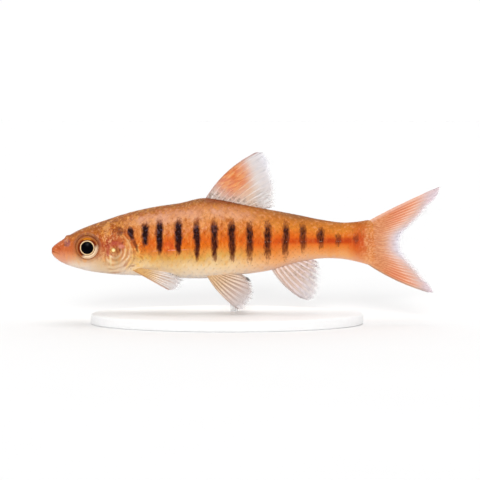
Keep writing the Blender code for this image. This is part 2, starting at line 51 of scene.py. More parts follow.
# Behind the snout, back, belly, half width.
BODY_STATIONS = (
    (0.00, -0.05, -0.05, 0.00),
    (0.17, 0.44, -0.72, 0.62),
    (0.87, 1.05, -1.44, 1.12),
    (2.17, 1.89, -2.18, 1.68),
    (3.70, 2.82, -2.70, 2.15),
    (5.83, 3.75, -3.25, 2.62),
    (8.58, 4.69, -3.62, 3.02),
    (11.94, 5.80, -3.89, 3.32),
    (15.76, 6.67, -4.14, 3.50),
    (19.88, 7.30, -4.35, 3.55),
    (23.54, 8.05, -4.40, 3.48),
    (25.98, 7.76, -4.17, 3.38),
    (29.50, 7.03, -3.79, 3.12),
    (33.31, 6.31, -3.24, 2.74),
    (37.89, 5.46, -1.92, 2.18),
    (41.71, 4.69, -1.34, 1.70),
    (44.92, 4.29, -1.45, 1.32),
    (47.05, 4.42, -1.87, 1.05),
    (48.58, 4.66, -2.28, 0.80),
)
BODY_END = BODY_STATIONS[-1][0]
HEAD_BACK_POWER = 2.35
TRUNK_BACK_POWER = 1.95
BELLY_POWER = 2.15
HEAD_LENGTH = 12.8
# The skin runs on past the flesh between the roots of the tail's rays, in fingers.
STEM_REACH = 1.1
STEM_ROWS = 26
FINGERS = 16
FINGER_LENGTH = 0.22

# Edge of the gill cover: behind and level.
GILL_EDGE = (
    (10.30, 9.60),
    (10.34, 5.50),
    (10.64, 3.36),
    (11.71, 2.21),
    (12.60, 0.76),
    (12.80, -0.61),
    (12.30, -1.98),
    (11.40, -3.05),
    (10.60, -6.00),
)
# Middle of the eye, and the pearl on the gill cover: behind and level.
EYE = (5.70, 0.54)
GILL_SPOT = (9.72, 0.20)
EYE_RADIUS = 1.80
EYE_HALF_THICKNESS = 0.75
EYE_SUNK = 0.38
EYE_BULGE = 0.07

SKIN_ROWS = 440
SKIN_COLUMNS = 200
SCALE_DEPTH = 0.07
SCALE_ROWS = 44
SCALE_PITCH = 1.22
SCALE_GRID = 7
FIRST_SCALE, LAST_SCALE = 9.5, 48.9
# The rows of scales are spread evenly round the section at this place.
ROWS_SPREAD_AT = 20.0
# Half height plus half width of the section on which scales have the full pitch.
FULL_SECTION = 9.4
SCALE_OVERLAP = 1.55
SCALE_BREADTH = 1.04
SCALE_THICKNESS = 0.030
# Half the size of the square that each scale has on the picture map.
SCALE_PATCH = 0.0015
# Half thickness of a fin's web, and what its root has more.
WEB_HALF_THICKNESS = 0.022
ROOT_THICKENING = 0.09
# Shares of a ray's length: where its four strands start, and where each fork begins to open and is fully
# open. The last number is how far it opens, in spacings between two rays.
STRAND_STARTS = (0.0, 0.60, 0.33, 0.60)
FIRST_FORK, SECOND_FORK = (0.35, 1.0, 0.20), (0.62, 1.0, 0.10)
JOINTS_PER_RAY = 26

# Bars: behind, level of the top, level of the foot, lean of the top forwards, strength, width. The first is a
# faint trace at the nape, and the next two make one bent bar.
BARS = (
    (10.75, 3.90, 2.30, 0.1, 0.52, 0.9),
    (12.42, 3.85, 1.65, 0.35, 0.92, 0.85),
    (13.05, 2.00, -0.20, 0.6, 0.60, 0.50),
    (14.58, 4.50, 0.70, 0.0, 1.0, 0.95),
    (16.77, 5.05, -0.55, 0.0, 1.0, 1.0),
    (19.66, 5.20, -0.65, 0.0, 1.0, 1.05),
    (22.46, 5.10, -1.45, 0.1, 0.94, 0.95),
    (25.11, 5.15, -1.60, 0.1, 0.88, 0.95),
    (27.80, 5.15, -1.60, 0.1, 0.86, 1.0),
    (30.46, 4.75, -1.80, 0.0, 0.84, 1.05),
    (33.22, 4.90, -1.70, 0.0, 0.82, 1.05),
    (35.98, 4.70, -1.40, 0.0, 0.80, 1.0),
    (38.66, 4.45, -0.40, 0.0, 0.74, 1.0),
    (41.37, 3.85, 0.00, 0.0, 0.74, 1.0),
    (44.00, 2.85, 0.40, 0.0, 0.52, 0.95),
    (46.77, 2.70, 0.55, 0.0, 0.42, 0.9),
)
BAR_HALF_WIDTH = 0.60
# From here backwards, the lower part of the bars is faint.
FAINT_FEET_BEHIND = 28.5
# Where a foot rises, as shares of the bar's height, and its strength at the very bottom.
FIRM_FOOT = (-0.10, 0.18), 0.85
FAINT_FOOT = (-0.25, 0.30), 0.60
MARKING_STATIONS = BODY_STATIONS[1::2] + (BODY_STATIONS[-1],)
STREAK_LENGTH = 4.5
STREAK_SCALE = 3.4
TAIL_FADE = 5.6


def smooth_rows(rows, places):
    """The cubic curve through the rows, read at places from 0 at the first row to 1 at the last."""
    rows = np.array(rows, float)
    steps = np.linalg.norm(np.diff(rows, axis=0), axis=1)
    knots = np.concatenate([[0.0], np.cumsum(steps)])
    slopes = np.gradient(rows, knots, axis=0)
    at = np.clip(places, 0.0, 1.0) * knots[-1]
    cell = np.clip(np.searchsorted(knots, at, side="right") - 1, 0, len(steps) - 1)
    span = steps[cell][:, None]
    t = ((at - knots[cell]) / steps[cell])[:, None]
    start = (1 + 2 * t) * (1 - t) ** 2 * rows[cell] + t * (1 - t) ** 2 * span * slopes[cell]
    end = t**2 * (3 - 2 * t) * rows[cell + 1] + t**2 * (t - 1) * span * slopes[cell + 1]
    return start + end


def smooth_step(low, high, value):
    """0 at low, 1 at high, and an S-shaped curve between."""
    t = np.clip((value - low) / (high - low), 0.0, 1.0)
    return t * t * (3 - 2 * t)


def hump(distance, width):
    """1 at no distance, falling to either side as a bell."""
    return np.exp(-((distance / width) ** 2))


def outline_rows(places):
    """Rows of the body's outline, never turning back on themselves at the snout."""
    rows = smooth_rows(BODY_STATIONS, places)
    rows[:, 0] = np.maximum.accumulate(rows[:, 0])
    return rows


FINE_ROWS = outline_rows(np.linspace(0.0, 1.0, 1500) ** 1.5)


def outline_at(behind):
    """Back, belly and half width; past the end of the flesh the width thins away between the tail's rays."""
    back, belly, width = (np.interp(behind, FINE_ROWS[:, 0], FINE_ROWS[:, column]) for column in (1, 2, 3))
    past = np.clip((behind - BODY_END) / STEM_REACH, 0.0, 1.0)
    return back - 0.55 * past**2, belly + 0.55 * past**2, width * (1 - past) ** 1.3 + 0.02 * past


def back_power(behind):
    """Power of the upper half of the cross-sections: squarer on the head than on the trunk."""
    share = np.clip(behind / (1.6 * HEAD_LENGTH), 0.0, 1.0)
    return HEAD_BACK_POWER + (TRUNK_BACK_POWER - HEAD_BACK_POWER) * share


def body_point(behind, angle):
    """Places on the body: each cross-section is a superellipse, with its own power above and below."""
    back, belly, width = outline_at(behind)
    middle = (back + belly) / 2
    sine, cosine = np.sin(angle), np.cos(angle)
    power = np.where(cosine > 0, back_power(behind), BELLY_POWER)
    reach = np.where(cosine > 0, back - middle, middle - belly)
    side = width * np.sign(sine) * np.abs(sine) ** (2 / power)
    level = middle + reach * np.sign(cosine) * np.abs(cosine) ** (2 / power)
    return np.stack([behind + 0 * side, side, level], axis=-1)


def half_width_at(behind, level):
    """How far the side of the body stands from the middle plane."""
    back, belly, width = outline_at(behind)
    middle = (back + belly) / 2
    upper = level > middle
    reach = np.where(upper, back - middle, middle - belly)
    power = np.where(upper, back_power(behind), BELLY_POWER)
    return width * np.maximum(0.0, 1 - (np.abs(level - middle) / reach) ** power) ** (1 / power)


def unit(vectors):
    """Vectors of length 1."""
    return vectors / np.maximum(np.linalg.norm(vectors, axis=-1, keepdims=True), 1e-12)


def body_normal(behind, angle):
    """Outward direction, from the cross product of two small steps on the surface."""
    along = body_point(behind + 0.03, angle) - body_point(behind - 0.03, angle)
    around = body_point(behind, angle + 0.01) - body_point(behind, angle - 0.01)
    return unit(np.cross(along, around))


def edge_behind(level):
    """Where the edge of the gill cover stands at a level."""
    edge = smooth_rows(GILL_EDGE, np.linspace(0.0, 1.0, 200))[::-1]
    return np.interp(level, edge[:, 1], edge[:, 0])


def skin_relief(behind, level):
    """How far the skin of the head stands out at a place in side view: humps and grooves added together."""
    lift = np.zeros_like(behind)
    from_eye = np.hypot(behind - EYE[0], level - EYE[1])
    lift += 0.07 * hump(from_eye - 2.12, 0.22) - 0.03 * hump(from_eye - 2.55, 0.24)
    lift -= 0.52 * smooth_step(1.98, 1.70, from_eye)
    past_edge = behind - edge_behind(level)
    covered = smooth_step(-3.9, -3.1, level) * smooth_step(3.5, 2.6, level)
    cover = 0.10 * np.exp(-np.abs(past_edge) / 1.1) * (past_edge < 0)
    below = -0.06 * np.exp(-np.abs(past_edge) / 0.5)
    step = smooth_step(-0.07, 0.07, past_edge)
    lift += covered * (cover * (1 - step) + below * step)
    spot_behind, spot_level = behind - GILL_SPOT[0], level - GILL_SPOT[1]
    from_spot = np.hypot(spot_behind, spot_level)
    turn = np.arctan2(spot_level, spot_behind)
    fan = smooth_step(-2.5, -1.9, turn) * smooth_step(0.5, -0.1, turn)
    for radius, height in ((1.15, 0.05), (1.85, 0.06), (2.55, 0.04)):
        lift += height * fan * hump(from_spot - radius - 0.25 * np.sin(turn), 0.19)
    lift += 0.06 * hump(from_spot, 0.35)
    past_front = behind - (8.45 - 0.10 * (level + 0.6) ** 2)
    line_ends = smooth_step(-2.9, -2.3, level) * smooth_step(2.4, 1.8, level)
    lift += line_ends * (0.05 * hump(past_front + 0.32, 0.2) - 0.06 * hump(past_front, 0.13))
    mouth = level + 0.08 + 0.36 * (behind - 0.12)
    near_mouth = smooth_step(2.1, 1.5, behind)
    lift += near_mouth * (0.05 * hump(mouth - 0.26, 0.16) + 0.07 * hump(mouth + 0.27, 0.17))
    lift -= near_mouth * 0.10 * hump(mouth, 0.09)
    lip_groove = level - 0.50 + 0.24 * (behind - 0.5)
    lift -= 0.08 * hump(lip_groove, 0.10) * smooth_step(2.6, 1.9, behind) * smooth_step(0.25, 0.6, behind)
    lift -= 0.30 * hump(np.hypot(behind - 2.45, (level - 1.15) * 1.2), 0.20)
    lift += 0.24 * hump(np.hypot(behind - 2.38, (level - 2.15) * 0.8), 0.36)
    lift += 0.07 * hump(np.hypot(behind - 2.15, level - 1.35), 0.16)
    under_eye = level + 1.95 + 0.03 * (behind - 5.0) ** 2
    lift -= 0.035 * hump(under_eye, 0.14) * smooth_step(2.6, 3.4, behind) * smooth_step(8.0, 7.2, behind)
    return lift


def new_object(name, data):
    """An object at the origin, unturned, in the scene."""
    made = bpy.data.objects.new(name, data)
    bpy.context.scene.collection.objects.link(made)
    return made


def add_mesh(name, points, faces, material, replaces=(), patches=None):
    """One mesh piece from points in millimetres on the fish, with what it rides on and stands for."""
    points = np.asarray(points, float).reshape(-1, 3)
    placed = (points + np.array([-TOTAL_LENGTH / 2, 0.0, SNOUT_HEIGHT])) * MM
    mesh = bpy.data.meshes.new(name)
    mesh.from_pydata(placed, [], faces.tolist() if isinstance(faces, np.ndarray) else faces)
    mesh.update()
    mesh.shade_smooth()
    if patches is not None:
        corners = np.empty(len(mesh.loops), np.int32)
        mesh.loops.foreach_get("vertex_index", corners)
        mesh.uv_layers.new(name="OFBake").data.foreach_set("uv", patches[corners].astype(np.float32).ravel())
    mesh.materials.append(material)
    piece = new_object(name, mesh)
    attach(piece, "root")
    if replaces:
        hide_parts(*replaces)
    return piece


def grid_faces(rows, columns, closed=False, start=0):
    """Quads of a rows by columns grid; closed joins the last column to the first."""
    i, j = np.meshgrid(np.arange(rows - 1), np.arange(columns if closed else columns - 1), indexing="ij")
    after = (j + 1) % columns
    a, b = i * columns + j, i * columns + after
    return start + np.stack([a, b, b + columns, a + columns], axis=-1).reshape(-1, 4)


def fan_faces(pole, ring):
    """Triangles from a pole to a closed ring of points."""
    return np.stack([np.full_like(ring, pole), ring, np.roll(ring, -1)], axis=-1).tolist()


def copied_faces(faces, count, size):
    """The faces of count like sets of size points each."""
    return (faces + (np.arange(count) * size)[:, None, None]).reshape(-1, faces.shape[1])


def tube_faces(count, rows, sides):
    """Quads and end caps of count tubes, each of rows rings of sides points."""
    cap = np.arange(sides)[None]
    parts = grid_faces(rows, sides, closed=True), cap[:, ::-1], (rows - 1) * sides + cap
    return [face for part in parts for face in copied_faces(part, count, rows * sides).tolist()]


def plate_faces(rows, columns):
    """Both faces of a thin plate and the rim between them; the second face's points follow the first's."""
    size = rows * columns
    top = grid_faces(rows, columns)
    bottom = grid_faces(rows, columns, start=size)[:, ::-1]
    index = np.arange(size).reshape(rows, columns)
    rim = np.concatenate([index[0, :-1], index[:-1, -1], index[-1, :0:-1], index[:0:-1, 0]])
    after = np.roll(rim, -1)
    sides = np.stack([after, rim, rim + size, after + size], axis=-1)
    return np.concatenate([top, bottom, sides])


def turned_out(points, faces, outward):
    """The faces, all turned over where the first one looks against the outward direction."""
    a, b, c = (points[k] for k in faces[0][:3])
    return faces if np.dot(np.cross(b - a, c - b), outward) > 0 else [list(face)[::-1] for face in faces]


# Shader building


class Value:
    """What a shader node gives out. Adding, multiplying and the like make math nodes in the same tree."""

    def __init__(self, socket):
        self.socket, self.tree = socket, socket.id_data

    def __add__(self, other):
        return calc("ADD", self, other)

    def __sub__(self, other):
        return calc("SUBTRACT", self, other)

    def __rsub__(self, other):
        return calc("SUBTRACT", other, self)

    def __mul__(self, other):
        return calc("MULTIPLY", self, other)

    def __truediv__(self, other):
        return calc("DIVIDE", self, other)

    def __pow__(self, power):
        return calc("POWER", self, power)

    def __abs__(self):
        return calc("ABSOLUTE", self)


def colour(code):
    """Linear colour of a six-digit screen colour."""
    parts = [int(code[k : k + 2], 16) / 255 for k in (0, 2, 4)]
    return [*(p / 12.92 if p <= 0.04045 else ((p + 0.055) / 1.055) ** 2.4 for p in parts), 1.0]


def feed(sockets, values):
    """Links each named input to its Value, or sets a plain number or colour on it."""
    for name, value in values.items():
        if isinstance(value, Value):
            value.tree.links.new(value.socket, sockets[name])
        else:
            sockets[name].default_value = colour(value) if isinstance(value, str) else value


def make(tree, kind, values, result=0, **settings):
    """A new shader node with its settings and inputs, and one of its outputs as a Value."""
    node = tree.nodes.new("ShaderNode" + kind)
    for name, setting in settings.items():
        setattr(node, name, setting)
    feed(node.inputs, values)
    return Value(node.outputs[result])


def new_material(name):
    """A material, the inputs of its shader and the place in object coordinates."""
    material = bpy.data.materials.new(name)
    material.use_nodes = True
    tree = material.node_tree
    return material, tree.nodes["Principled BSDF"].inputs, make(tree, "TexCoord", {}, "Object")


def calc(operation, *values, clamp=False):
    """What a math node makes of the values, at least one of which comes from a node."""
    tree = next(value.tree for value in values if isinstance(value, Value))
    return make(tree, "Math", dict(enumerate(values)), operation=operation, use_clamp=clamp)


def ease(value, low, high, to_low=0.0, to_high=1.0):
    """A smooth step from to_low at low to to_high at high."""
    if low > high:
        low, high, to_low, to_high = high, low, to_high, to_low
    limits = {"Value": value, "From Min": low, "From Max": high, "To Min": to_low, "To Max": to_high}
    return make(value.tree, "MapRange", limits, "Result", interpolation_type="SMOOTHSTEP")


def near(value, middle, reach, core, strength=1.0):
    """Strength up to core away from a middle, fading to 0 at reach."""
    return ease(abs(value - middle), reach, core, 0.0, strength)


def between(value, rise, fall):
    """0 outside two limits and 1 between them, with a smooth rise and fall."""
    return ease(value, *rise) * ease(value, *fall)


def ramp(value, stops):
    """Colours, or grey levels, along a value."""
    node = value.tree.nodes.new("ShaderNodeValToRGB")
    elements = node.color_ramp.elements
    while len(elements) < len(stops):
        elements.new(0.5)
    for element, (at, code) in zip(elements, stops):
        element.position = at
        element.color = colour(code) if isinstance(code, str) else (code, code, code, 1.0)
    feed(node.inputs, {"Fac": value})
    return Value(node.outputs["Color"])


def blend(share, first, second):
    """The first colour with a share of the second over it."""
    return make(share.tree, "Mix", {0: share, 6: first, 7: second}, 2, data_type="RGBA")


def tint(shade, code, share, *others):
    """A colour laid over a shade by the product of the shares."""
    for other in others:
        share = share * other
    return blend(share, shade, code)


def noise(place, scale, detail=2.0, roughness=0.5, curl=0.0, squeeze=None):
    """Cloudy values round 0.5; squeeze below 1 draws them out along an axis."""
    if squeeze:
        place = make(place.tree, "VectorMath", {0: place, 1: squeeze}, operation="MULTIPLY")
    values = {"Vector": place, "Scale": scale, "Detail": detail, "Roughness": roughness, "Distortion": curl}
    return make(place.tree, "TexNoise", values)


def relief(height, strength, distance):
    """A normal bent by fine relief."""
    return make(height.tree, "Bump", {"Height": height, "Strength": strength, "Distance": distance}, "Normal")


def fish_place(place):
    """Behind and level in millimetres from object coordinates."""
    x, z = (make(place.tree, "SeparateXYZ", {0: place}, axis) for axis in "XZ")
    return x * (1 / MM) + TOTAL_LENGTH / 2, z * (1 / MM) - SNOUT_HEIGHT


def far_from(spot, centre, tall=1.0):
    """Distance in side view from a point; tall shrinks the vertical distance."""
    across, up = spot[0] - centre[0], (spot[1] - centre[1]) * (1 / tall)
    return calc("SQRT", across * across + up * up)


def curve_through(value, pairs):
    """The smooth curve through pairs of value and result, level beyond its ends."""
    pairs = np.array(pairs)
    pairs = pairs[np.argsort(pairs[:, 0])]
    low, span = pairs.min(axis=0), np.ptp(pairs, axis=0)
    node = value.tree.nodes.new("ShaderNodeFloatCurve")
    curve = node.mapping.curves[0]
    while len(curve.points) < len(pairs):
        curve.points.new(0.5, 0.5)
    for point, at in zip(curve.points, (pairs - low) / span):
        point.location = at
    node.mapping.update()
    feed(node.inputs, {"Value": value * (1 / span[0]) - low[0] / span[0]})
    return Value(node.outputs[0]) * span[1] + low[1]


def add_patches(spot, shade, patches):
    """A shade with soft patches of other colours over it, one after the other."""
    for centre, tall, reach, core, strength, code in patches:
        shade = tint(shade, code, ease(far_from(spot, centre, tall), reach, core, 0.0, strength))
    return shade


# The skin's markings

# Colours from the belly (0) to the back (1): of the flank, of the stem of the tail and of the head.
FLANK = (
    (0.0, "d2c8c0"), (0.07, "e8d4ba"), (0.18, "eccb98"), (0.29, "daa553"), (0.42, "df6e08"),
    (0.50, "dc6204"), (0.62, "d26c14"), (0.80, "de9454"), (0.92, "bc6c2a"), (1.0, "8a5426"),
)
STEM = (
    (0.0, "dfb092"), (0.14, "e8a264"), (0.32, "e27f30"), (0.47, "e05800"),
    (0.58, "de6406"), (0.74, "df842a"), (0.90, "c4742a"), (1.0, "8a5426"),
)
HEAD = (
    (0.0, "dccfc4"), (0.13, "e4cdb6"), (0.26, "dcb086"), (0.40, "d28c56"),
    (0.52, "c86a34"), (0.66, "bc5a1c"), (0.82, "b25c18"), (1.0, "885226"),
)
# Soft patches of the head: centre (behind and level), height per length, reach, core, strength, colour.
FACE_PATCHES = (
    ((1.6, 0.4), 0.8, 3.4, 0.6, 0.75, "cf6a3c"),
    ((1.2, 0.7), 0.6, 1.5, 0.3, 0.45, "b8481c"),
    ((1.4, -1.3), 0.55, 3.0, 0.4, 0.75, "da9070"),
)
CHEEK_PATCHES = (
    ((10.40, 0.20), 1.0, 0.80, 0.20, 0.95, "7a2a16"),
    ((10.9, 0.75), 0.6, 0.70, 0.25, 0.65, "e09480"),
    ((10.3, -1.2), 1.3, 0.9, 0.3, 0.45, "a07a44"),
    ((8.6, -2.4), 0.55, 3.6, 1.0, 0.40, "caa05c"),
    ((9.70, 0.15), 1.0, 0.75, 0.30, 0.80, "b06c2a"),
    (GILL_SPOT, 1.0, 0.36, 0.16, 1.0, "ffe8a4"),
    ((2.55, 1.22), 1.2, 0.66, 0.30, 0.80, "a4686a"),
    ((2.25, 0.85), 0.8, 0.30, 0.08, 0.75, "66322e"),
    ((2.85, 1.40), 0.8, 0.28, 0.08, 0.60, "7c4440"),
    ((15.6, 0.2), 1.3, 1.1, 0.3, 0.42, "c0561e"),
    ((18.2, 0.7), 0.9, 1.6, 0.4, 0.55, "d23c1a"),
)
# Lines along the edge of the gill cover: distance past the edge, half width, strength, colour. The pale line
# on the cover's rim is its golden colour with a painted highlight, and the dark line just past the edge is
# painted shade in the groove under the cover.
GILL_LINES = ((-0.30, 0.28, 0.65, "e9bd80"), (0.12, 0.20, 0.28, "8a4a26"), (-0.85, 0.22, 0.40, "a85c34"))
# Upright lines low on the cheek: behind, half width, colour.
CHEEK_LINES = ((8.45, 0.24, "a85830"), (9.25, 0.26, "f4e0b0"))
GILL_RIPPLE = 0.75
SIDE_LINE = 1.55
PORE_LINE = 1.45


def body_shade(spot, share, past_gill):
    """Flank, stem and head by height on the body, with the red side line and the glow before the tail."""
    behind, level = spot
    shade = blend(ease(behind, 25.5, 37.0), ramp(share, FLANK), ramp(share, STEM))
    shade = blend(ease(past_gill, 11.4, 14.2), ramp(share, HEAD), shade)
    shade = tint(shade, "bf3e00", near(level, SIDE_LINE, 0.68, 0.1), ease(behind, 26.0, 44.0))
    return tint(shade, "c84a14", ease(far_from(spot, (47.6, 1.3), 1.6), 2.7, 0.3), 0.85)


def head_shade(place, spot, shade, share, past_gill):
    """Blotches and flecks of head and nape, the gill cover's lines and rings, the eye's rim and the mouth."""
    behind, level = spot
    shade = add_patches(spot, shade, FACE_PATCHES)
    blotch = ease(noise(place, 900.0, 3.0, 0.65), 0.40, 0.60) * 0.60 + 0.32
    shade = tint(shade, "a83a22", ease(far_from(spot, (9.3, 1.35), 0.9), 2.3, 0.3), blotch)
    shoulder = ease(far_from(spot, (10.0, 2.1), 0.85), 3.7, 1.2)
    cheek = ease(far_from(spot, (8.7, 0.6), 1.3), 2.6, 1.2)
    crown = ease(share, 0.62, 0.80) * ease(past_gill, 5.0, 8.0) * ease(behind, 16.0, 12.0)
    nape = ease(far_from(spot, (12.9, -0.6), 1.5), 2.3, 0.9)
    curls = noise(place, 1500.0, 2.0, 0.6, 2.2, squeeze=(1.0, 1.0, 0.6))
    mottle = noise(place, 1400.0, 3.0, 0.7)
    for zone, grain, low, high, strength, code in (
        (shoulder, noise(place, 1150.0, 3.0, 0.7), 0.52, 0.64, 0.75, "f0b878"),
        (shoulder, noise(place, 1000.0, 3.0, 0.7), 0.48, 0.37, 0.80, "7a2a14"),
        (cheek, curls, 0.52, 0.62, 0.65, "eeb27c"),
        (cheek, curls, 0.47, 0.38, 0.70, "a03c1c"),
        (crown, mottle, 0.50, 0.62, 0.60, "e6a252"),
        (crown, mottle, 0.47, 0.36, 0.60, "84481a"),
        (nape, mottle, 0.51, 0.60, 0.75, "ecbc68"),
        (nape, mottle, 0.46, 0.37, 0.65, "96582a"),
    ):
        shade = tint(shade, code, zone, ease(grain, low, high, 0.0, strength))

    past_edge = behind - curve_through(level, [(row[1], row[0]) for row in GILL_EDGE[1:-1]])
    in_reach = between(level, (-3.4, -2.6), (3.2, 2.2))
    broken = ease(noise(place, 700.0), 0.35, 0.60, 0.35, 1.0)
    # The cover's golden rim with a painted highlight, and painted shade in the groove past its edge.
    for offset, half, strength, code in GILL_LINES:
        shade = tint(shade, code, near(past_edge, offset, half, half * 0.2, strength), in_reach, broken)
    fan = ease(behind * 0.35 - level, 3.0, 4.2) * ease(past_edge, -0.2, -0.6)
    fan = fan * ease(behind, 8.3, 9.0) * broken
    bent = noise(place, 450.0) * 1.1 + far_from(spot, GILL_SPOT)
    ripple = calc("SINE", bent * (2 * math.pi / GILL_RIPPLE))
    shade = tint(shade, "f2d8b8", fan, ease(ripple, 0.2, 0.9), 0.80)
    shade = tint(shade, "b06c50", fan, ease(ripple, -0.1, -0.9), 0.65)
    hook = near(far_from(spot, (10.1, 0.05)), 1.25, 0.40, 0.10)
    shade = tint(shade, "b64c3c", hook, ease(level - behind * 0.5, -5.5, -4.8), 0.75)
    low_cheek = between(level, (-2.5, -1.9), (-0.4, -0.8))
    for at, half, code in CHEEK_LINES:
        shade = tint(shade, code, near(behind, at, half, 0.06, 0.75), low_cheek, broken)
    shade = add_patches(spot, shade, CHEEK_PATCHES)

    above_eye = ease(level, EYE[1] - 0.2, EYE[1] + 1.4, 0.22, 0.70)
    shade = tint(shade, "8a5c4a", near(far_from(spot, EYE), 2.05, 0.36, 0.05), above_eye)
    mouth = near(level + behind * 0.36, -0.037, 0.13, 0.03)
    return tint(shade, "7a3420", mouth, ease(behind, 1.6, 0.7), 0.45)


def flank_shade(place, spot, shade, share, back, grains):
    """Scaly grain of the trunk with painted glints and painted sheen, the fade into the tail, the pale
    thread, and painted shade along the dorsal fin's root.
    """
    behind, level = spot
    coarse, fine, upright = grains
    streak = noise(place, 4600.0, squeeze=(0.35, 1.0, 1.0))
    fade = ease(upright * 3.0 + behind, 48.6, 50.6) * ease(abs(level - 0.6), 3.2, 1.4, 0.45, 0.85)
    shade = blend(fade, shade, blend(ease(streak, 0.42, 0.62), "d88248", "eaa874"))
    calm = ease(share, 0.12, 0.40, 0.25, 1.0) * ease(behind, 36.0, 28.0, 0.35, 1.0)
    shade = tint(shade, "9c5622", ease(fine, 0.46, 0.74), ease(share, 0.48, 0.80, 0.0, 0.48))
    shade = tint(shade, "efa04a", calm, ease(upright, 0.50, 0.66, 0.0, 0.38))
    shade = tint(shade, "a84a0c", calm, ease(upright, 0.49, 0.34, 0.0, 0.42))
    # Pale specks on the upper flank: painted glints on the scales.
    shade = tint(shade, "f0b890", ease(fine, 0.46, 0.32), ease(share, 0.56, 0.78, 0.03, 0.26))
    # A pale pinkish band high on the flank: painted sheen.
    painted_sheen = near(share, 0.84, 0.11, 0.02) * between(behind, (11.0, 14.0), (34.0, 26.0))
    shade = tint(shade, "e6b09a", painted_sheen, ease(coarse, 0.35, 0.6, 0.15, 0.5))
    thread = near(level - behind * 0.045, -0.62, 0.11, 0.03) * ease(noise(place, 600.0), 0.42, 0.60)
    shade = tint(shade, "eeb0a0", thread, ease(far_from(spot, (18.4, 0.2)), 3.2, 1.0, 0.0, 0.7))
    # Darker skin along the dorsal fin's root: painted shade where the fin meets the back.
    fin_root_shade = between(behind, (23.2, 24.2), (31.8, 30.6)) * ease(back - level, 0.75, 0.25)
    return tint(shade, "8a4420", fin_root_shade, ease(coarse, 0.3, 0.6, 0.45, 0.95))


def bar_mask(place, spot):
    """How strongly each place belongs to a bar: widest a little above its middle, with bulging sides."""
    behind, level = spot
    bulging = noise(place, 1100.0, squeeze=(1.0, 1.0, 0.7)) * 0.7 + behind - 0.35
    total = None
    for at, top, foot, lean, strength, width in BARS:
        height = (level - foot) / (top - foot)
        off = abs(bulging - (height * -lean + (at + lean / 2)))
        narrow = abs(height - 0.6) ** 2.5 * -1.4 + 1.0
        reach = calc("MAXIMUM", narrow * (BAR_HALF_WIDTH * width), 0.05)
        foot_rise, foot_share = FAINT_FOOT if at > FAINT_FEET_BEHIND else FIRM_FOOT
        ends = between(height, foot_rise, (1.12, 0.72)) * ease(height, 0.05, 0.45, foot_share, 1.0)
        mask = ease(off / reach, 1.45, 0.35) * ends * strength
        total = mask if total is None else calc("MAXIMUM", total, mask)
    return total


def markings_group():
    """Colour, wetness, roughness and fine relief of the skin, from its place on the fish."""
    tree = bpy.data.node_groups.new("barb_markings", "ShaderNodeTree")
    tree.interface.new_socket("Vector", in_out="INPUT", socket_type="NodeSocketVector")
    for name, kind in (("Color", "Color"), ("Wetness", "Float"), ("Roughness", "Float"), ("Height", "Float")):
        tree.interface.new_socket(name, in_out="OUTPUT", socket_type="NodeSocket" + kind)
    place = Value(tree.nodes.new("NodeGroupInput").outputs["Vector"])
    spot = behind, level = fish_place(place)
    back, belly = (curve_through(behind, [(row[0], row[k]) for row in MARKING_STATIONS]) for k in (1, 2))
    coarse = noise(place, 420.0, 3.0)
    fine = noise(place, 2300.0, 2.0, 0.6)
    upright = noise(place, 1700.0, 3.0, 0.65, squeeze=(1.0, 1.0, 0.38))
    share = (level - belly) / (back - belly) + ((upright - 0.5) * 0.16 + (coarse - 0.5) * 0.14)
    past_gill = behind + abs(level) * 0.35
    shade = body_shade(spot, share, past_gill)
    shade = head_shade(place, spot, shade, share, past_gill)
    shade = flank_shade(place, spot, shade, share, back, (coarse, fine, upright))

    total = bar_mask(place, spot)
    hairs = noise(place, 4800.0, 2.0, 0.6, squeeze=(1.0, 1.0, 0.28))
    swing = (hairs - 0.5) * (total * -0.7 + 1.7) * ease(behind, 20.0, 34.0, 0.60, 0.78)
    frayed = swing * ease(total, 0.02, 0.2) + total
    bar = ease(frayed, 0.08, 0.92)
    ink = blend(ease(share, 0.38, 0.56), "401204", "240a06")
    ink = tint(ink, "38222a", ease(level, 3.4, 5.0))
    ink = tint(ink, "6a3016", ease(frayed, 1.00, 0.55, 0.0, 0.9))
    sheen = ease(noise(place, 2600.0), 0.50, 0.66) * ease(share, 0.38, 0.66, 0.10, 0.42)
    ink = tint(ink, "6a5a6c", sheen, ease(behind, 30.0, 18.0, 0.3, 0.8))
    shade = tint(shade, "93401e", bar, 1.0 - bar, 1.4)
    shade = blend(bar, shade, ink)
    pores = near(level, PORE_LINE, 0.10, 0.02) * ease(noise(place, 5600.0), 0.52, 0.60, 0.0, 0.45)
    shade = tint(shade, "e8c4b0", pores, bar, ease(behind, 29.0, 33.0))
    feed(tree.nodes.new("NodeGroupOutput").inputs, {
        "Color": shade, "Wetness": 1.0 - bar, "Roughness": fine * 0.25 + (bar * 0.35 + 0.36),
        "Height": fine + coarse * 0.6,
    })
    return tree


def skin_material(name, group, bump_strength, coat):
    """The markings, with their fine relief and a thin wet coat between the bars."""
    material, shader, place = new_material(name)
    marks = place.tree.nodes.new("ShaderNodeGroup")
    marks.node_tree = group
    feed(marks.inputs, {"Vector": place})
    given = {output.name: Value(output) for output in marks.outputs}
    feed(shader, {
        "Base Color": given["Color"], "Roughness": given["Roughness"], "Coat Weight": given["Wetness"] * coat,
        "Coat Roughness": 0.22, "Specular IOR Level": 0.10,
        "Normal": relief(given["Height"], bump_strength, 0.00006),
    })
    return material


# From the pupil outwards: half the distance from the eye's middle in millimetres, and the colour.
EYE_RINGS = (
    (0.0, "010102"), (0.470, "030308"), (0.492, "e6be88"), (0.535, "f2d8ae"),
    (0.565, "8a4a20"), (0.60, "541f0c"), (0.66, "68260e"), (0.71, "96481e"),
    (0.76, "c0743e"), (0.82, "d08a54"), (0.875, "a8603a"), (0.92, "7e4630"),
)


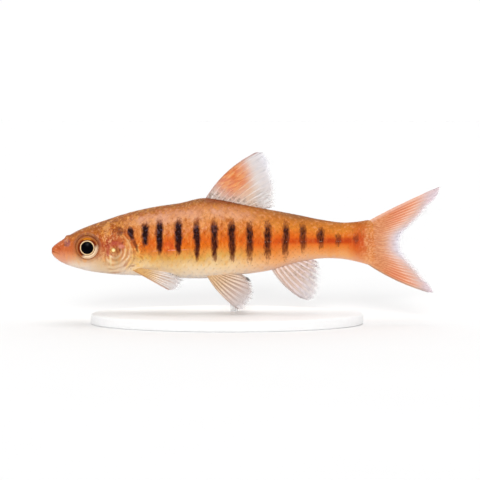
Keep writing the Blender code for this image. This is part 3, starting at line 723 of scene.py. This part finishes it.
def eye_material():
    """Rings round the eye's axis: pupil, pale inner ring, dark iris and golden outer ring, with painted shade
    on the outer ring's upper front side.
    """
    material, shader, place = new_material("eye_wet")
    spot = fish_place(place)
    grain = noise(place, 3000.0, 3.0, 0.6)
    radius = far_from(spot, EYE) + (grain - 0.5) * 0.09
    across, up = spot[0] - EYE[0], spot[1] - EYE[1]
    top = between(radius, (1.20, 1.30), (1.66, 1.50)) * ease(up - abs(across), -0.1, 0.8)
    collar = between(radius, (1.12, 1.18), (1.50, 1.34)) * ease(across * -0.3 + up, -0.6, 0.1)
    foot = between(radius, (1.15, 1.24), (1.76, 1.62)) * ease(across * -0.75 + up, -0.45, -1.2)
    # The outer ring darkened towards its upper front side: painted shade.
    shaded_side = ease(across - up, 0.9, -0.9) * 0.7 + grain
    rings = ramp(radius * 0.5, EYE_RINGS)
    rings = tint(rings, "e08820", top, 0.85)
    rings = tint(rings, "74260c", collar, ease(abs(across), 0.35, 0.75), 0.9)
    rings = tint(rings, "f8dcb6", foot, 0.95)
    rings = tint(rings, "84401e", calc("MULTIPLY", ease(radius, 1.36, 1.5), shaded_side, clamp=True), 0.5)
    feed(shader, {"Base Color": rings, "Roughness": 0.30, "Specular IOR Level": 0.02, "Coat Weight": 0.01,
                  "Coat Roughness": 0.08})
    return material


# The fins' colours


def rear_margin(level, shape):
    """How far behind the snout a fin's rear margin stands at a level."""
    rear = smooth_rows(shape["margin"][shape["rear"]], np.linspace(0.0, 1.0, 15))
    return curve_through(level, rear[:, ::-1])


def soft_edge(spot, shape):
    """0 just before the rear margin of a fin, rising to 1 further in."""
    inwards = rear_margin(spot[1], shape) - spot[0]
    for middle, low, high, times in shape.get("firm_tips", ()):
        inwards = inwards * ease(abs(spot[1] - middle), low, high, 1.0, times)
    return ease(inwards, 0.05, shape["soft"]) ** 1.5


def near_line(spot, points, width):
    """1 on a line through points in side view, fading to 0 at a height of width above or below it."""
    return near(spot[1], curve_through(spot[0], points), width, width * 0.3)


def past_line(spot, origin, heading):
    """Distance past a point along a heading in side view."""
    return (spot[0] - origin[0]) * heading[0] + (spot[1] - origin[1]) * heading[1]


def streaks_along(spot, heading):
    """Noise drawn out along a heading in side view."""
    along = past_line(spot, (0.0, 0.0), heading) * (1 / STREAK_LENGTH)
    across = past_line(spot, (0.0, 0.0), (-heading[1], heading[0]))
    return noise(make(along.tree, "CombineXYZ", {"X": along, "Y": across}), STREAK_SCALE, 2.0, 0.6)


def finish_fin(shader, shade, alpha, height):
    """Feeds a fin's colour, clearness and fine relief to its shader."""
    bent = relief(height, 0.3, 0.00004)
    feed(shader, {"Base Color": shade, "Alpha": alpha, "Normal": bent, "Roughness": 0.5})


def fin_material(name, shape, shades, clearness, dashes, patches=()):
    """Colour and clearness along the fin's course in side view, dark dashes near its root, a line along the
    leading ray, and patches of other colours."""
    origin, heading, span = shape["course"]
    material, shader, place = new_material(name)
    spot = fish_place(place)
    waver = noise(place, 500.0, 3.0, 0.6)
    share = past_line(spot, origin, heading) * (1 / span) + (waver - 0.5) * 0.25
    shade = ramp(share, shades)
    streaks = streaks_along(spot, heading)
    for (centre, reach, tall), deep, light in patches:
        patch = ease(far_from(spot, centre, tall), reach, reach * 0.25)
        patch = calc("MULTIPLY", patch, waver * 0.7 + 0.55, clamp=True)
        shade = blend(patch, shade, blend(ease(streaks, 0.42, 0.60), deep, light))
    strength, code = dashes
    origin, heading, reach = shape["root_zone"]
    from_root = past_line(spot, origin, heading)
    grit = noise(place, 2200.0, 2.0, 0.6)
    shade = tint(shade, code, ease(grit, 0.50, 0.60), ease(from_root, reach, reach * 0.4, 0.0, strength))
    width, code, strength = shape["edge"]
    shade = tint(shade, code, near_line(spot, ray_line(shape, 0), width), strength)
    alpha = ramp(share, clearness) * soft_edge(spot, shape)
    if "thin" in shape:
        centre, reach, strength = shape["thin"]
        alpha = alpha * ease(far_from(spot, centre), reach, reach * 0.3, 1.0, 1 - strength)
    finish_fin(shader, shade, alpha, streaks)
    return material


def tail_material(name, shape, shades, clearness):
    """Salmon at the outer edges, golden at the root, fading to clear lilac-white towards the notched rear."""
    material, shader, place = new_material(name)
    spot = behind, level = fish_place(place)
    waver = noise(place, 1300.0, 3.0, 0.6, squeeze=(0.35, 1.0, 1.0))
    share = (rear_margin(level, shape) - behind) * (1 / TAIL_FADE) + (waver - 0.5) * 0.22
    shade = ramp(share - near(level, 1.0, 3.6, 0.4, 0.24), shades)
    flecks = noise(place, 4600.0, 2.0, 0.6, squeeze=(0.35, 1.0, 1.0))
    root = ease(waver * 3.0 + behind, 55.0, 51.6, 0.0, 0.9)
    shade = blend(root, shade, blend(ease(flecks, 0.44, 0.60), "d07e46", "e29e6a"))
    shade = tint(shade, "efc6b2", near_line(spot, ray_line(shape, 0), 0.70), 0.55)
    shade = tint(shade, "a88e78", near_line(spot, ray_line(shape, -1), 0.34), 0.60)
    shade = tint(shade, "e2ccd4", ease(behind, 55.8, 59.0, 0.0, 0.75))
    finish_fin(shader, shade, ramp(share, clearness) * soft_edge(spot, shape), waver)
    return material


# The skin


def build_skin(material):
    """One closed skin: superellipse rings along the body, with the head's relief, sunk under the scales."""
    # Rings stand closer together towards the snout.
    even = np.linspace(0.0, 1.0, SKIN_ROWS)
    places = (even + 0.9 * even**2) / 1.9
    behind = outline_rows(places**1.15)[1:, 0]
    past = BODY_END + STEM_REACH * np.linspace(0.0, 1.0, STEM_ROWS)[1:]
    behind = np.concatenate([behind, past])
    angle = 2 * math.pi * np.arange(SKIN_COLUMNS) / SKIN_COLUMNS
    b, a = np.meshgrid(behind, angle, indexing="ij")
    b = b + FINGER_LENGTH * np.cos(FINGERS * a) * smooth_step(BODY_END, BODY_END + STEM_REACH, b)
    points = body_point(b, a)
    along = np.gradient(points, axis=0)
    around = np.roll(points, -1, axis=1) - np.roll(points, 1, axis=1)
    outward = unit(np.cross(along, around))
    scaled = smooth_step(0.0, 1.2, b - edge_behind(points[..., 2]))
    lift = skin_relief(b, points[..., 2]) - SCALE_DEPTH * scaled
    lift *= smooth_step(-0.05, 0.25, b) * (1 - smooth_step(BODY_END, BODY_END + 0.6 * STEM_REACH, b))
    points = points + outward * lift[..., None]
    tip = np.array([[0.0, 0.0, BODY_STATIONS[0][1]]])
    rows = len(behind)
    faces = grid_faces(rows, SKIN_COLUMNS, closed=True, start=1)[:, ::-1].tolist()
    ring = 1 + np.arange(SKIN_COLUMNS)
    faces += fan_faces(0, ring)
    faces.append(((rows - 1) * SKIN_COLUMNS + ring[::-1]).tolist())
    covered = ("head", "lower_jaw", "gill_cover_left", "gill_cover_right", "trunk", "tail_stem")
    return add_mesh("skin", np.concatenate([tip, points.reshape(-1, 3)]), faces, material, covered)


def scale_places(side):
    """Root and size of every scale of one side: rows of even arc length, staggered by half a scale."""
    fine = np.linspace(0.0, math.pi, 400)
    section = body_point(np.full_like(fine, ROWS_SPREAD_AT), fine)
    arc = np.concatenate([[0.0], np.cumsum(np.linalg.norm(np.diff(section, axis=0), axis=1))])
    half_rows = SCALE_ROWS // 2
    angles = np.interp((np.arange(half_rows) + 0.5) / half_rows * arc[-1], arc, fine)
    widths = np.gradient(np.interp(np.arange(half_rows) / (half_rows - 1) * arc[-1], arc, fine))
    body = np.linspace(FIRST_SCALE, LAST_SCALE + 0.7, 800)
    back, belly, width = outline_at(body)
    pitch = SCALE_PITCH * (((back - belly) / 2 + width) / FULL_SECTION) ** 0.55
    count = np.concatenate([[0.0], np.cumsum(np.diff(body) / pitch[:-1])])
    roots = []
    for row, (angle, spread) in enumerate(zip(angles, widths)):
        steps = np.arange(0.5 * (row % 2), count[-1], 1.0)
        behind = np.interp(steps, count, body)
        level = body_point(behind, np.full_like(behind, angle))[:, 2]
        keep = (behind > edge_behind(level) - 0.35) & (behind < LAST_SCALE)
        length = np.interp(behind, body, pitch)
        angles_of_row = np.full_like(behind, side * angle)
        roots.append(np.stack([behind, angles_of_row, length, np.full_like(behind, spread)], -1)[keep])
    return np.concatenate(roots)


def build_scales(name, side, material):
    """Scales as thin closed plates: rounded behind, rising from the skin to their free rear edge, each one
    under the rear edge of the one before it."""
    roots = scale_places(side)
    steps = np.linspace(0.0, 1.0, SCALE_GRID)
    p, q = np.meshgrid(steps, np.linspace(-1.0, 1.0, SCALE_GRID), indexing="ij")
    rounding = np.sqrt(1 - 0.93 * np.clip((p - 0.35) / 0.65, 0.0, 1.0) ** 2)
    random = np.random.default_rng(7)
    wobble = 1 + 0.06 * random.standard_normal((len(roots), 1, 1))
    root, turn, pitch, breadth = roots.T[..., None, None]
    behind = root + pitch * SCALE_OVERLAP * wobble * p * (1 - 0.10 * q**2)
    angle = turn + breadth * SCALE_BREADTH * q * rounding
    surface = body_point(behind, angle)
    normal = body_normal(behind, angle)
    size = pitch / SCALE_PITCH
    tilt = 0.004 * random.standard_normal((len(roots), 1, 1))
    rise = 0.012 + 0.018 * smooth_step(-2.5, 1.0, surface[..., 2])
    lift = -SCALE_DEPTH + size * (0.014 + rise * p - 0.010 * q**2) + tilt * p
    top = surface + normal * lift[..., None]
    bottom = surface + normal * (lift - SCALE_THICKNESS * size)[..., None]
    sheets = [sheet.reshape(len(roots), -1, 3) for sheet in (top, bottom)]
    points = np.stack(sheets, axis=1).reshape(-1, 3)
    faces = copied_faces(plate_faces(SCALE_GRID, SCALE_GRID)[:, ::-1], len(roots), 2 * SCALE_GRID**2)
    u = root / 50.0 + SCALE_PATCH * (2 * p - 1)
    v = turn / (2 * math.pi) + 0.5 + SCALE_PATCH * q
    patch = np.stack([u + 0 * v, v + 0 * u], axis=-1).reshape(len(roots), 1, -1, 2)
    patches = np.repeat(patch, 2, axis=1).reshape(-1, 2)
    return add_mesh(name, points, faces, material, patches=patches)


def build_eye(name, side, material, node):
    """An ellipsoid of circles of latitude round the eye's axis, with a slight bulge over the pupil."""
    turns, rings = 72, 44
    polar = np.linspace(0.0, math.pi, rings + 2)[1:-1]
    around = 2 * math.pi * np.arange(turns) / turns
    t, w = np.meshgrid(polar, around, indexing="ij")
    depth = EYE_HALF_THICKNESS * np.cos(t) + EYE_BULGE * hump(np.sin(t), 0.55) * (t < math.pi / 2)
    centre = half_width_at(np.array(EYE[0]), np.array(EYE[1])) - EYE_SUNK
    radius = EYE_RADIUS * np.sin(t)
    points = np.stack([EYE[0] + radius * np.cos(w), side * (centre + depth), EYE[1] + radius * np.sin(w)], -1)
    outer = [EYE[0], float(side * (centre + EYE_HALF_THICKNESS + EYE_BULGE)), EYE[1]]
    inner = [EYE[0], float(side * (centre - EYE_HALF_THICKNESS)), EYE[1]]
    ring, count = np.arange(turns), rings * turns
    faces = grid_faces(rings, turns, closed=True).tolist()
    faces += fan_faces(count, ring[::-1]) + fan_faces(count + 1, count - turns + ring)
    if side < 0:
        faces = [face[::-1] for face in faces]
    points = np.concatenate([points.reshape(-1, 3), [outer, inner]])
    return add_mesh(name, points, faces, material, (node,))


# The fins


def fin_sheet(shape, across, along):
    """Points and facing of a fin's middle sheet: each ray is a quadratic curve from root line to margin."""
    roots, tips = smooth_rows(shape["root"], across), smooth_rows(shape["margin"], across)
    chord = tips - roots
    normal = np.stack([-chord[:, 1], chord[:, 0]], axis=1)
    lead = np.sign(np.sum(normal[0] * (roots[0] - roots[-1])))
    bulge = shape["bow"] * (1 - across) - shape.get("last_bow", 0.0) * across
    control = (roots + tips) / 2 + lead * normal * (2 * bulge)[:, None]
    t = np.broadcast_to(along, (len(across), along.shape[-1]))[..., None]
    flat = (1 - t) ** 2 * roots[:, None] + 2 * t * (1 - t) * control[:, None] + t**2 * tips[:, None]
    side = shape["spread"](flat[..., 0], flat[..., 1]) if shape.get("spread") else np.zeros(flat.shape[:2])
    centre = np.stack([flat[..., 0], side, flat[..., 1]], axis=2)
    facing = unit(np.cross(np.gradient(centre, axis=0), np.gradient(centre, axis=1)))
    if np.mean(facing[..., 1]) > 0:
        facing = -facing
    return centre, facing


def ray_line(shape, ray):
    """Behind and level of points along the leading ray (0) or the last one (-1)."""
    across, along = np.array([0.0, 0.5, 1.0]), np.linspace(0.02, 1.0, 8)[None]
    centre, _ = fin_sheet({**shape, "spread": None}, across, along)
    return centre[ray][:, [0, 2]]


def build_fin(name, shape, web, ray):
    """The membrane as a thin closed plate, scalloped between its rays, and the rays as tapered jointed
    strands that fork twice on their way to the margin."""
    rays = shape["count"]
    random = np.random.default_rng(len(name) + rays)
    columns, rows = (rays - 1) * 8 + 1, 56
    across = np.linspace(0.0, 1.0, columns)
    phase = across * (rays - 1)
    notch = 0.005 * np.sin(math.pi * phase) ** 2 + 0.002 * random.random(columns)
    reach = 1 - notch * smooth_step(0.0, 0.06, across)
    along = np.linspace(0.0, 1.0, rows)[None] * reach[:, None]
    centre, facing = fin_sheet(shape, across, along)
    half = WEB_HALF_THICKNESS + ROOT_THICKENING * np.clip(1 - along / 0.25, 0.0, 1.0) ** 2
    sway = 0.03 * np.sin(2 * math.pi * phase)[:, None] * along
    top, bottom = centre + facing * (sway + half)[..., None], centre + facing * (sway - half)[..., None]
    points = np.concatenate([top.reshape(-1, 3), bottom.reshape(-1, 3)])
    faces = turned_out(points, plate_faces(columns, rows), facing[0, 0])
    add_mesh(name + "_web", points, faces, web, shape["nodes"])

    steps, sides = 46, 8
    fine_across, fine_along = np.linspace(0.0, 1.0, 241), np.linspace(0.0, 1.0, 121)
    ray_at, branch = np.meshgrid(np.arange(rays), np.arange(4), indexing="ij")
    ray_at, branch = ray_at.ravel(), branch.ravel()
    start = np.array(STRAND_STARTS)[branch][:, None]
    t = start + (1 - start) * np.linspace(0.0, 1.0, steps)
    first = np.where(branch < 2, -1.0, 1.0)
    second = np.where(branch % 2 == 0, -1.0, 1.0)
    soft = np.where(ray_at < shape.get("stiff", 1), 0.25, 1.0)
    inwards = np.where(ray_at == 0, 1.0, np.where(ray_at == rays - 1, -1.0, 0.0))
    opening = sum((way + inwards)[:, None] * apart * smooth_step(low, high, t)
                  for way, (low, high, apart) in ((first, FIRST_FORK), (second, SECOND_FORK)))
    strand = (ray_at[:, None] + soft[:, None] * opening) / (rays - 1)
    strand = np.clip(strand + 0.004 * random.standard_normal((len(ray_at), 1)) * t, 0.004, 0.996)
    reach = t * (0.985 - 0.01 * random.random(len(ray_at)))[:, None]
    sheet, sheet_facing = fin_sheet(shape, fine_across, fine_along[None])
    path = read_sheet(sheet, strand, reach)
    face = unit(read_sheet(sheet_facing, strand, reach))
    heading = unit(np.gradient(path, axis=1))
    beside = unit(np.cross(heading, face))
    apart = read_sheet(np.gradient(sheet, fine_across[1], axis=0), strand, reach)
    apart = apart - heading * np.sum(apart * heading, axis=2, keepdims=True)
    pitch = np.linalg.norm(apart, axis=2) / (rays - 1)
    joints = 1 + 0.10 * np.sin(t * 2 * math.pi * JOINTS_PER_RAY) * smooth_step(0.25, 0.45, t)
    wide = np.minimum(shape["ray_width"] * (1 - 0.55 * t), 0.30 * pitch) * joints
    wide = wide * np.where(ray_at < shape.get("stiff", 1), 1.15, 1.0)[:, None]
    high = np.minimum(shape["ray_width"] * 1.15 * (1 - 0.75 * t), 0.45 * pitch) * joints
    turn = 2 * math.pi * np.arange(sides) / sides
    ring = beside[:, :, None] * (np.cos(turn)[None, None] * wide[..., None])[..., None]
    ring = ring + face[:, :, None] * (np.sin(turn)[None, None] * high[..., None])[..., None]
    points = (path[:, :, None] + ring).reshape(-1, 3)
    faces = turned_out(points, tube_faces(len(ray_at), steps, sides), ring[0, 0, 0])
    add_mesh(name + "_rays", points, faces, ray)


def read_sheet(sheet, across, along):
    """Bilinear reading of a grid of points at shares across and along."""
    rows, columns = sheet.shape[:2]
    x = np.clip(across * (rows - 1), 0, rows - 1.001)
    y = np.clip(along * (columns - 1), 0, columns - 1.001)
    i, j = x.astype(int), y.astype(int)
    fx, fy = (x - i)[..., None], (y - j)[..., None]
    this_row = sheet[i, j] * (1 - fy) + sheet[i, j + 1] * fy
    next_row = sheet[i + 1, j] * (1 - fy) + sheet[i + 1, j + 1] * fy
    return this_row * (1 - fx) + next_row * fx


def on_line(start, end, column, buried):
    """Points along the back (column 0) or the belly (1), moved into the body by what is buried."""
    places = np.linspace(start, end, 7)
    levels = outline_at(places)[column]
    return np.stack([places, levels + buried], axis=1)


DORSAL_MARGIN = ((31.50, 15.03), (33.00, 14.99), (33.95, 13.85), (34.15, 12.05), (34.65, 10.05),
                 (34.90, 8.15), (34.85, 6.75))
ANAL_MARGIN = ((38.50, -7.45), (40.00, -7.85), (41.15, -7.30), (41.70, -5.90), (41.90, -4.20), (41.95, -2.90),
               (41.60, -1.95))
TAIL_MARGIN = ((59.50, 9.60), (59.88, 9.82), (60.02, 9.45), (59.55, 8.50), (58.40, 6.56), (56.75, 4.63),
               (55.15, 2.98), (54.45, 1.75), (54.40, 0.60), (55.00, -0.76), (56.03, -2.14), (57.25, -3.51),
               (58.45, -5.31), (59.00, -6.50), (58.00, -6.55))
PELVIC_ROOT = ((23.92, -3.75), (25.90, -3.40))
PELVIC_MARGIN = ((28.80, -8.85), (30.30, -8.75), (31.30, -7.30), (31.35, -6.00), (30.95, -4.90),
                 (30.30, -4.15))
PECTORAL_ROOT = ((12.35, -2.85), (13.30, -2.55))
PECTORAL_MARGIN = ((18.20, -5.75), (19.90, -5.65), (20.80, -4.95), (20.70, -4.10), (19.60, -3.35))
ALL_BUT_FIRST, INNER = slice(1, None), slice(1, -1)
PALE = ((0.0, 0.95), (0.25, 0.82), (0.6, 0.60), (1.0, 0.3))
ORANGE_PATCH = (27.8, 11.2), 4.0, 1.15
# Low on the rear of the dorsal fin: on the web a grey of painted shade between the rays, on the rays a paler
# colour.
GREY_PATCH = (32.8, 8.0), 2.8, 0.75

# Each fin: where its rays start and end, how far they bow, their number and half width, how many leading
# rays stay stiff and the depth of its clear margin. For its colours: the course from root to margin (point,
# heading, span), the zone of dashes at the root (point, heading, reach), the line on the leading ray (width,
# colour, strength) and a thinner spot (centre, reach, strength). Web and rays: colours and opacity along the
# course, dashes and patches.
DORSAL = {
    "root": on_line(23.45, 31.0, 0, -0.7), "margin": DORSAL_MARGIN, "rear": ALL_BUT_FIRST, "bow": 0.078,
    "count": 11, "ray_width": 0.11, "stiff": 2, "soft": 1.5, "nodes": ("dorsal_fin",),
    "course": ((26.5, 9.0), (0.90, 0.43), 8.2), "root_zone": ((23.75, 8.0), (0.30, 0.95), 2.5),
    "edge": (0.30, "a8583c", 0.55), "thin": ((34.2, 7.2), 3.0, 0.65),
    "web": (((0.0, "d0bcb0"), (0.25, "dcc4b2"), (0.45, "e0bca0"), (0.65, "e2d6d0"), (1.0, "e6e4ea")),
            ((0.0, 0.97), (0.4, 0.92), (0.7, 0.80), (1.0, 0.70)), (0.62, "806454"),
            ((ORANGE_PATCH, "da6404", "ea9040"), (GREY_PATCH, "c4b8b2", "dcd4d0"))),
    "rays": (((0.0, "ece0da"), (0.35, "eedac8"), (0.7, "eee6e6"), (1.0, "f0eef2")),
             ((0.0, 1.0), (0.6, 0.9), (0.8, 0.6), (1.0, 0.25)), (0.45, "94786a"),
             ((ORANGE_PATCH, "e07418", "efa864"), (GREY_PATCH, "f4ecea", "f8f2f0"))),
}
ANAL = {
    "root": on_line(33.74, 38.4, 1, 0.7), "margin": ANAL_MARGIN, "rear": ALL_BUT_FIRST, "bow": 0.07,
    "count": 9, "ray_width": 0.20, "soft": 1.9, "nodes": ("anal_fin",),
    "course": ((35.5, -3.2), (0.86, -0.51), 6.8), "root_zone": ((36.0, -2.4), (-0.28, -0.96), 2.0),
    "edge": (0.30, "8c7464", 0.45), "thin": ((41.6, -3.8), 2.8, 0.55),
    "web": (((0.0, "d0b09c"), (0.4, "d6b8a6"), (0.7, "dfd0ca"), (1.0, "e6e2e4")),
            ((0.0, 0.95), (0.5, 0.80), (1.0, 0.4)), (0.5, "8a7a66")),
    "rays": (((0.0, "f0ddd4"), (0.5, "f2e2e2"), (1.0, "eeecf0")),
             ((0.0, 1.0), (0.5, 0.9), (0.8, 0.5), (1.0, 0.15)), (0.35, "c09a8c")),
}
TAIL = {
    "root": [(BODY_END - 0.4, level) for level in np.linspace(4.12, -1.86, 5)], "margin": TAIL_MARGIN,
    "rear": INNER, "bow": 0.018, "last_bow": 0.042, "count": 29, "ray_width": 0.07, "soft": 1.9,
    "nodes": ("tail_fin_upper", "tail_fin_lower"), "firm_tips": ((1.2, 5.5, 8.3, 5.0),),
    "web": (((0.0, "e4dce6"), (0.15, "e6d0d2"), (0.35, "e8b49e"), (0.6, "e08659"), (1.0, "d2622f")),
            ((0.0, 0.40), (0.15, 0.62), (0.35, 0.84), (0.6, 0.95), (1.0, 0.98))),
    "rays": (((0.0, "ded4de"), (0.25, "f2dcd2"), (0.6, "f4bc9c"), (1.0, "e69668")),
             ((0.0, 0.05), (0.2, 0.5), (0.45, 0.95), (1.0, 1.0))),
}
PELVIC = {
    "root": PELVIC_ROOT, "margin": PELVIC_MARGIN, "rear": ALL_BUT_FIRST, "bow": 0.05, "count": 8,
    "ray_width": 0.17, "soft": 1.5, "course": ((24.4, -3.8), (0.72, -0.69), 7.0),
    "root_zone": ((24.4, -3.8), (0.72, -0.69), 3.5), "edge": (0.25, "a8806c", 0.4),
    "web": (((0.0, "dcb684"), (0.3, "cfa682"), (0.6, "d6b8a8"), (1.0, "e0d8d8")), PALE, (0.45, "a8845e")),
    "rays": (((0.0, "e6c090"), (0.35, "f2d8bc"), (0.7, "f0e0da"), (1.0, "eee6e6")),
             ((0.0, 1.0), (0.5, 0.95), (0.8, 0.5), (1.0, 0.15)), (0.4, "c0946c")),
}
PECTORAL = {
    "root": PECTORAL_ROOT, "margin": PECTORAL_MARGIN, "rear": ALL_BUT_FIRST, "bow": -0.005, "count": 8,
    "ray_width": 0.13, "soft": 1.9, "course": ((13.0, -2.8), (0.93, -0.36), 7.0),
    "root_zone": ((13.0, -2.8), (0.93, -0.36), 3.5), "edge": (0.26, "b87040", 0.5),
    "web": (((0.0, "e4ae64"), (0.35, "dcac70"), (0.6, "dab8a0"), (1.0, "e8e2e4")), PALE, (0.4, "b07844")),
    "rays": (((0.0, "e2ae5c"), (0.3, "ecc88e"), (0.6, "f8ece2"), (1.0, "f6f0f0")),
             ((0.0, 1.0), (0.5, 0.95), (0.8, 0.6), (1.0, 0.2)), (0.4, "c88050")),
}


def pelvic_spread(side):
    """The fin stands out from the belly the more, the lower it reaches."""
    return lambda behind, level: side * (1.25 + 0.42 * np.maximum(PELVIC_ROOT[0][1] - level, 0.0))


def pectoral_spread(side):
    """The fin stands out from the flank towards its tip."""
    behind_root, root_level = PECTORAL_ROOT[0]
    start = float(half_width_at(np.array(behind_root), np.array(root_level))) - 0.35
    return lambda behind, level: side * (start + 0.42 * (behind - behind_root) + 0.12 * (root_level - level))


def fin_looks(name, shape, finish=fin_material):
    """The finishes of a fin's web and of its rays."""
    return [finish(f"{name}_{part}", shape, *shape[part]) for part in ("web", "rays")]


def build_fins():
    """The fins in the middle plane, and then the pairs, whose left and right fins share their finishes."""
    for name, shape, finish in (
        ("dorsal", DORSAL, fin_material), ("anal", ANAL, fin_material), ("tail", TAIL, tail_material)
    ):
        build_fin(name, shape, *fin_looks(name, shape, finish))
    pairs = [("pelvic", PELVIC, pelvic_spread), ("pectoral", PECTORAL, pectoral_spread)]
    looks = [fin_looks(name, shape) for name, shape, _ in pairs]
    for word, side in SIDES:
        for (name, shape, spread), look in zip(pairs, looks):
            placed = {**shape, "spread": spread(side), "nodes": (f"{name}_fin_{word}",)}
            build_fin(f"{name}_{word}", placed, *look)


# Stand, floor, light and camera

BASE_CENTRE = 27.0
BASE_SIZE = (42.0, 24.0)
# Edge of the base: share of its half size, and height over the floor.
BASE_EDGE = ((0.985, 0.0), (0.996, 0.06), (1.0, 0.2), (1.0, 1.28), (0.996, 1.45), (0.985, 1.56), (0.965, 1.6))
ROD_BEHIND = 28.1
ROD_RADIUS = 0.6
ROD_FOOT = 1.9
ROD_GAP = 0.3
LENS = 150.0
SENSOR = 36.0
# The camera's distance in metres, its height angle in degrees, and the point it looks at, from the origin.
CAMERA_DISTANCE = 0.3077
CAMERA_RISE = 4.0
CAMERA_AIM = (-1.0, 12.89)
WINDOW_POWER = 1.55
WINDOW_RISE = 17.0
WINDOW_SLANT = 0.04
WINDOW_SPREAD = 13.0


def build_lathe(name, profile, behind, material, node, stretch=(1.0, 1.0)):
    """A profile of radius and level turned about an upright axis and stretched to an oval."""
    sides = 160
    turn = 2 * math.pi * np.arange(sides) / sides
    r, z = np.array(profile).T[..., None]
    x, y = behind + r * np.cos(turn) * stretch[0], r * np.sin(turn) * stretch[1]
    points = np.stack([x, y, z + 0 * turn], axis=-1)
    return add_mesh(name, points, tube_faces(1, len(profile), sides), material, (node,))


def plain_material(name, scale, detail, shades, roughness):
    """A nearly even finish with a faint grain, and a roughness that follows the grain or is one number."""
    material, shader, place = new_material(name)
    grain = noise(place, scale, detail)
    if not isinstance(roughness, float):
        roughness = ease(grain, 0.3, 0.7, *roughness)
    feed(shader, {"Base Color": blend(grain, *shades), "Roughness": roughness})
    return material, shader


def build_stand():
    """The white oval base, and the clear rod that ends just under the belly."""
    white, _ = plain_material("stand_white", 1500.0, 3.0, ("f4f4f4", "fbfbfb"), (0.5, 0.62))
    clear, shader = plain_material("stand_clear", 900.0, 2.0, ("eef1f3", "f8fafb"), (0.04, 0.10))
    feed(shader, {"Alpha": 0.35, "Coat Weight": 0.6})
    profile = [(0.5 * r, z - SNOUT_HEIGHT) for r, z in BASE_EDGE]
    build_lathe("stand_plinth", profile, BASE_CENTRE, white, "stand_base", BASE_SIZE)
    top = float(outline_at(np.array(ROD_BEHIND))[1]) - ROD_GAP
    foot = ROD_FOOT - SNOUT_HEIGHT
    narrow = ROD_RADIUS - 0.04
    profile = [(narrow, foot), (ROD_RADIUS, foot + 0.05), (ROD_RADIUS, top - 0.08), (narrow, top)]
    build_lathe("stand_pin", profile, ROD_BEHIND, clear, "stand_rod")


def build_stage():
    """A wide white floor under the stand."""
    material, shader = plain_material("floor_white", 40.0, 2.0, ("f0f0f0", "f2f2f2"), 0.9)
    feed(shader, {"Specular IOR Level": 0.0})
    bpy.ops.mesh.primitive_plane_add(size=6.0, location=(0.0, 0.0, 0.0))
    floor = bpy.context.active_object
    floor.name = "floor"
    floor.data.materials.append(material)


def build_light():
    """A white room, brighter behind the fish than before it, with a ceiling light and a soft low window."""
    world = bpy.data.worlds.new("studio")
    bpy.context.scene.world = world
    world.use_nodes = True
    tree = world.node_tree
    heading = make(tree, "TexCoord", {}, "Generated")
    depth, height = (make(tree, "SeparateXYZ", {0: heading}, axis) for axis in "YZ")
    glow = ease(depth, -0.5, 0.3, 0.20, 1.01) + ease(height, 0.84, 0.98, 0.0, 2.0)
    feed(tree.nodes["Background"].inputs, {"Strength": glow, "Color": (1.0, 1.0, 1.0, 1.0)})
    light = bpy.data.lights.new("window", "SUN")
    light.energy = WINDOW_POWER
    light.angle = math.radians(WINDOW_SPREAD)
    rise = math.radians(WINDOW_RISE)
    falling = Vector((WINDOW_SLANT, math.cos(rise), -math.sin(rise)))
    new_object("window", light).rotation_euler = falling.to_track_quat("-Z", "Y").to_euler()


def build_camera():
    """A long lens that looks at the fish's left side from a little above."""
    camera = bpy.data.cameras.new("camera")
    camera.lens = LENS
    camera.sensor_width = SENSOR
    camera.clip_start = 0.01
    camera.clip_end = 20.0
    eye = new_object("camera", camera)
    rise = math.radians(CAMERA_RISE)
    x, z = CAMERA_AIM
    eye.location = (x * MM, -CAMERA_DISTANCE * math.cos(rise), z * MM + CAMERA_DISTANCE * math.sin(rise))
    eye.rotation_euler = (math.pi / 2 - rise, 0.0, 0.0)
    bpy.context.scene.camera = eye


def main():
    marks = markings_group()
    build_skin(skin_material("skin", marks, 0.35, 0.05))
    scale = skin_material("scale", marks, 0.30, 0.06)
    wet = eye_material()
    for word, side in SIDES:
        build_scales("scales_" + word, side, scale)
    for word, side in SIDES:
        build_eye("eyeball_" + word, side, wet, "eye_" + word)
    build_fins()
    build_stand()
    build_stage()
    build_light()
    build_camera()
    bpy.context.scene.view_settings.view_transform = "Standard"


main()
